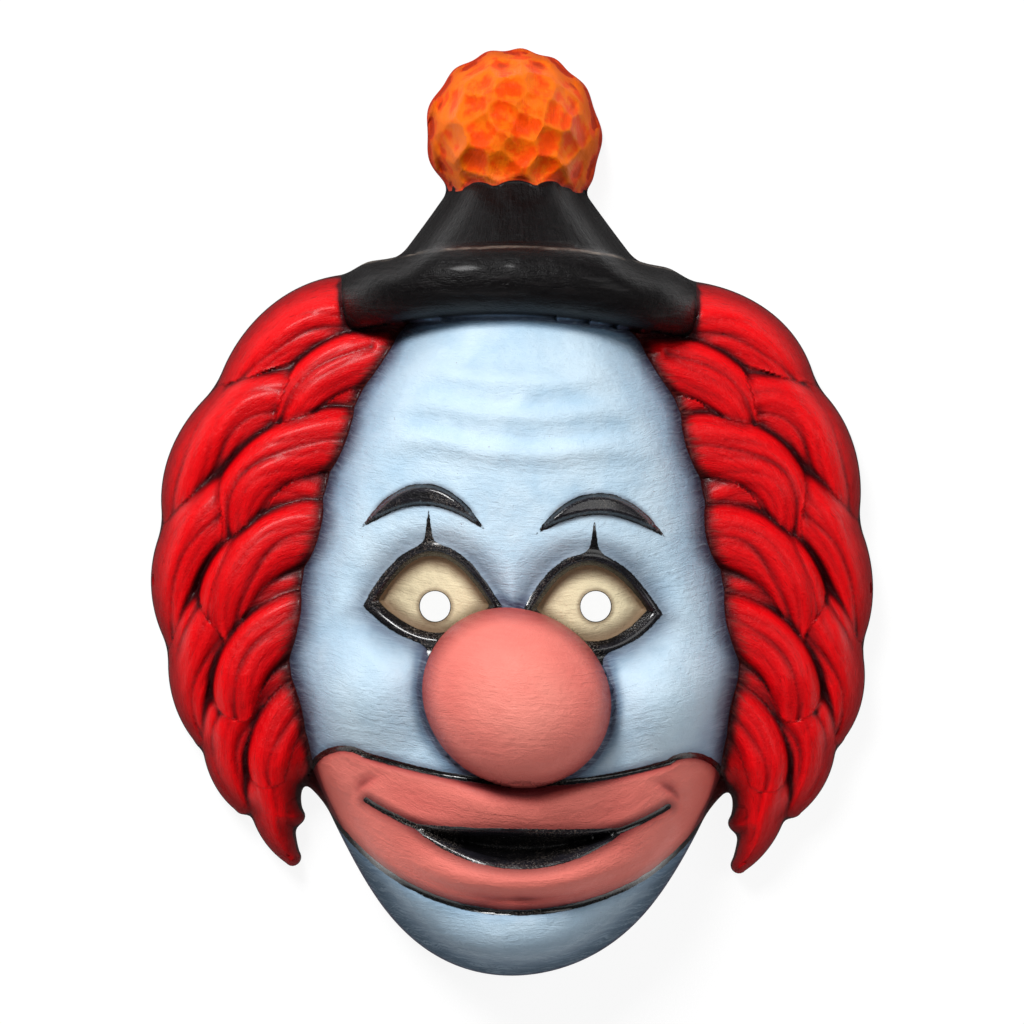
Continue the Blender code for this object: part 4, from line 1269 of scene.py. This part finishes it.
    # Gloss: matt paint on the face, satin on the hat and hair, wet-looking black lines
    rough = p.step(blotches, 0.35, 0.7, 0.40, 0.54)
    satin = p.step(long_strokes, 0.3, 0.7, 0.36, 0.52)
    rough = p.blend_value(p.math("MAXIMUM", beside_face, on_hat), rough, satin)
    covered = p.math("MAXIMUM", p.math("MAXIMUM", in_eye, beside_face), p.math("MAXIMUM", on_nose, on_hat))
    wet = p.times(black, p.math("SUBTRACT", 1.0, covered))
    varnish = p.add(p.times(wet, 0.75), p.times(on_hat, p.step(long_strokes, 0.42, 0.62, 0.0, 0.12)))
    varnish = p.add(varnish, p.times(p.times(beside_face, p.math("SUBTRACT", 1.0, on_hat)), 0.07))
    varnish = p.times(varnish, p.math("SUBTRACT", 1.0, on_pompom))
    p.feed(p.shader.inputs["Coat Weight"], p.times(varnish, p.step(p.guide("edge"), 3, 12)))
    rough = p.blend_value(wet, rough, p.step(fine_strokes, 0.3, 0.7, 0.14, 0.30))
    rough = p.blend_value(p.step(p.guide("edge"), 12, 3), rough, 0.95)
    p.feed(p.shader.inputs["Roughness"], rough)

    # Relief: strokes of the brush, fine grain, and lines that stand up a little
    strokes_relief = p.add(p.times(long_strokes, 0.55), p.times(fine_strokes, 0.25))
    grain = p.add(p.times(p.noise(place, 1500, 2.0), 0.30), p.times(p.noise(place, 260, 4.0), 0.80))
    relief = p.add(p.add(strokes_relief, grain), p.times(wet, 0.5))
    p.feed(p.shader.inputs["Normal"], p.bump(relief, 0.0007))
    return p.material


def bare_plastic_material():
    """The unpainted plastic behind: off-white, with the mould's soft grain, and dark grey towards the rim.
    """
    p = Paint("bare_plastic")
    place = p.position()
    blotches = p.noise(place, 30, 4.0)
    grain = p.noise(place, 700, 3.0)
    colour = p.mix(p.step(blotches, 0.35, 0.7), srgb(214, 212, 205), srgb(190, 189, 184))
    colour = p.mix(p.step(p.guide("edge"), 7.0, 1.5, 0.0, 0.8), colour, srgb(46, 44, 48))
    p.feed(p.shader.inputs["Base Color"], colour)
    p.feed(p.shader.inputs["Roughness"], p.step(grain, 0.3, 0.7, 0.42, 0.6))
    p.feed(p.shader.inputs["Normal"], p.bump(p.add(grain, p.times(blotches, 0.8)), 0.0004))
    return p.material


def floor_material():
    """White matt acrylic with a little light of its own, as a lit photo table has."""
    p = Paint("photo_table")
    speck = p.noise(p.position(), 400, 3.0)
    p.feed(p.shader.inputs["Base Color"], p.mix(speck, srgb(96, 96, 96), srgb(102, 102, 102)))
    p.feed(p.shader.inputs["Roughness"], p.step(speck, 0.3, 0.7, 0.70, 0.80))
    p.shader.inputs["Emission Color"].default_value = (1.0, 1.0, 1.0, 1.0)
    p.shader.inputs["Emission Strength"].default_value = FLOOR_GLOW
    p.shader.inputs["Specular IOR Level"].default_value = 0.2
    p.feed(p.shader.inputs["Normal"], p.bump(speck, 0.0001))
    return p.material


# The piece

def add_object(name, data):
    thing = bpy.data.objects.new(name, data)
    bpy.context.scene.collection.objects.link(thing)
    return thing


def drill(piece, place):
    """Cuts one hole for the band through a side, as a modifier that is applied at once."""
    mesh = bpy.data.meshes.new("drill")
    shape = bmesh.new()
    half = STRAP_HOLE_DIAMETER / 2
    bmesh.ops.create_cone(shape, cap_ends=True, segments=24, radius1=half, radius2=half, depth=8 * WALL)
    shape.to_mesh(mesh)
    shape.free()
    mesh.transform(Matrix.Translation(place) @ Matrix.Rotation(math.pi / 2, 4, "Y"))
    cutter = add_object("drill", mesh)
    cut = piece.modifiers.new("strap_hole", "BOOLEAN")
    cut.operation = "DIFFERENCE"
    cut.solver = "EXACT"
    cut.object = cutter
    depsgraph = bpy.context.evaluated_depsgraph_get()
    drilled = bpy.data.meshes.new_from_object(piece.evaluated_get(depsgraph))
    piece.modifiers.clear()
    piece.data = drilled
    bpy.data.objects.remove(cutter)


def make_mask():
    mesh, outline = mask_skin()
    piece = add_object("painted_mask", mesh)
    mesh.materials.append(paint_material())
    mesh.materials.append(bare_plastic_material())
    for side in (1, -1):
        widest_x, widest_y = outline[np.argmax(side * outline[:, 0])]
        drill(piece, (widest_x, widest_y, STRAP_HOLE_HEIGHT))
    add_paint_guides(piece.data, outline)
    low, high = outline.min(axis=0), outline.max(axis=0)
    piece.data.transform(Matrix.Translation((-(low[0] + high[0]) / 2, -(low[1] + high[1]) / 2, 0)))
    piece.data.shade_smooth()
    piece.data.set_sharp_from_angle(angle=SHARP_ANGLE)
    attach(piece, "root")
    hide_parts("mask_shell")
    return piece


# The set: a pale table, soft light from the hat's side and a camera straight above

FLOOR_SIZE = 6.0
FLOOR_GLOW = 0.90
WORLD_GLOW = 0.06
CAMERA_HEIGHT = 2.6
FRAME_HEIGHT_PX = 1024
MASK_HEIGHT_PX = 943
FORM_HEIGHT = 0.045

# Each row is one soft light: where it hangs over the middle of the mask, the side of its square and
# its power in watts
LIGHTS = {
    # name: (place, size, power)
    "key": ((-0.60, 1.15, 1.60), 0.6, 42.0),
    "fill": ((1.15, 0.20, 1.50), 1.0, 8.0),
    "low_fill": ((-0.50, -1.30, 1.30), 1.0, 3.0),
}


def make_floor():
    mesh = bpy.data.meshes.new("floor")
    half = FLOOR_SIZE / 2
    corners = [(-half, -half, 0), (half, -half, 0), (half, half, 0), (-half, half, 0)]
    mesh.from_pydata(corners, [], [(0, 1, 2, 3)])
    mesh.materials.append(floor_material())
    floor = add_object("floor", mesh)


def make_lights():
    for name, (place, size, power) in LIGHTS.items():
        data = bpy.data.lights.new(name, "AREA")
        data.shape = "SQUARE"
        data.size = size
        data.energy = power
        light = add_object(name, data)
        light.location = place
        aim = Vector((0, 0, FORM_HEIGHT)) - Vector(place)
        light.rotation_euler = aim.to_track_quat("-Z", "Y").to_euler()
    world = bpy.data.worlds.new("studio")
    world.use_nodes = True
    background = world.node_tree.nodes["Background"]
    background.inputs["Color"].default_value = (1.0, 1.0, 1.0, 1.0)
    background.inputs["Strength"].default_value = WORLD_GLOW
    bpy.context.scene.world = world
    bpy.context.scene.view_settings.view_transform = "Standard"


def make_camera():
    data = bpy.data.cameras.new("camera")
    mask_height = CAD_BOX[1][1] - CAD_BOX[0][1]
    seen = mask_height * FRAME_HEIGHT_PX / MASK_HEIGHT_PX
    data.sensor_fit = "HORIZONTAL"
    data.angle = 2 * math.atan(seen / 2 / (CAMERA_HEIGHT - FORM_HEIGHT))
    camera = add_object("camera", data)
    camera.location = (0, 0, CAMERA_HEIGHT)
    bpy.context.scene.camera = camera


make_floor()
make_lights()
make_camera()
make_mask()

bpy.context.view_layer.update()
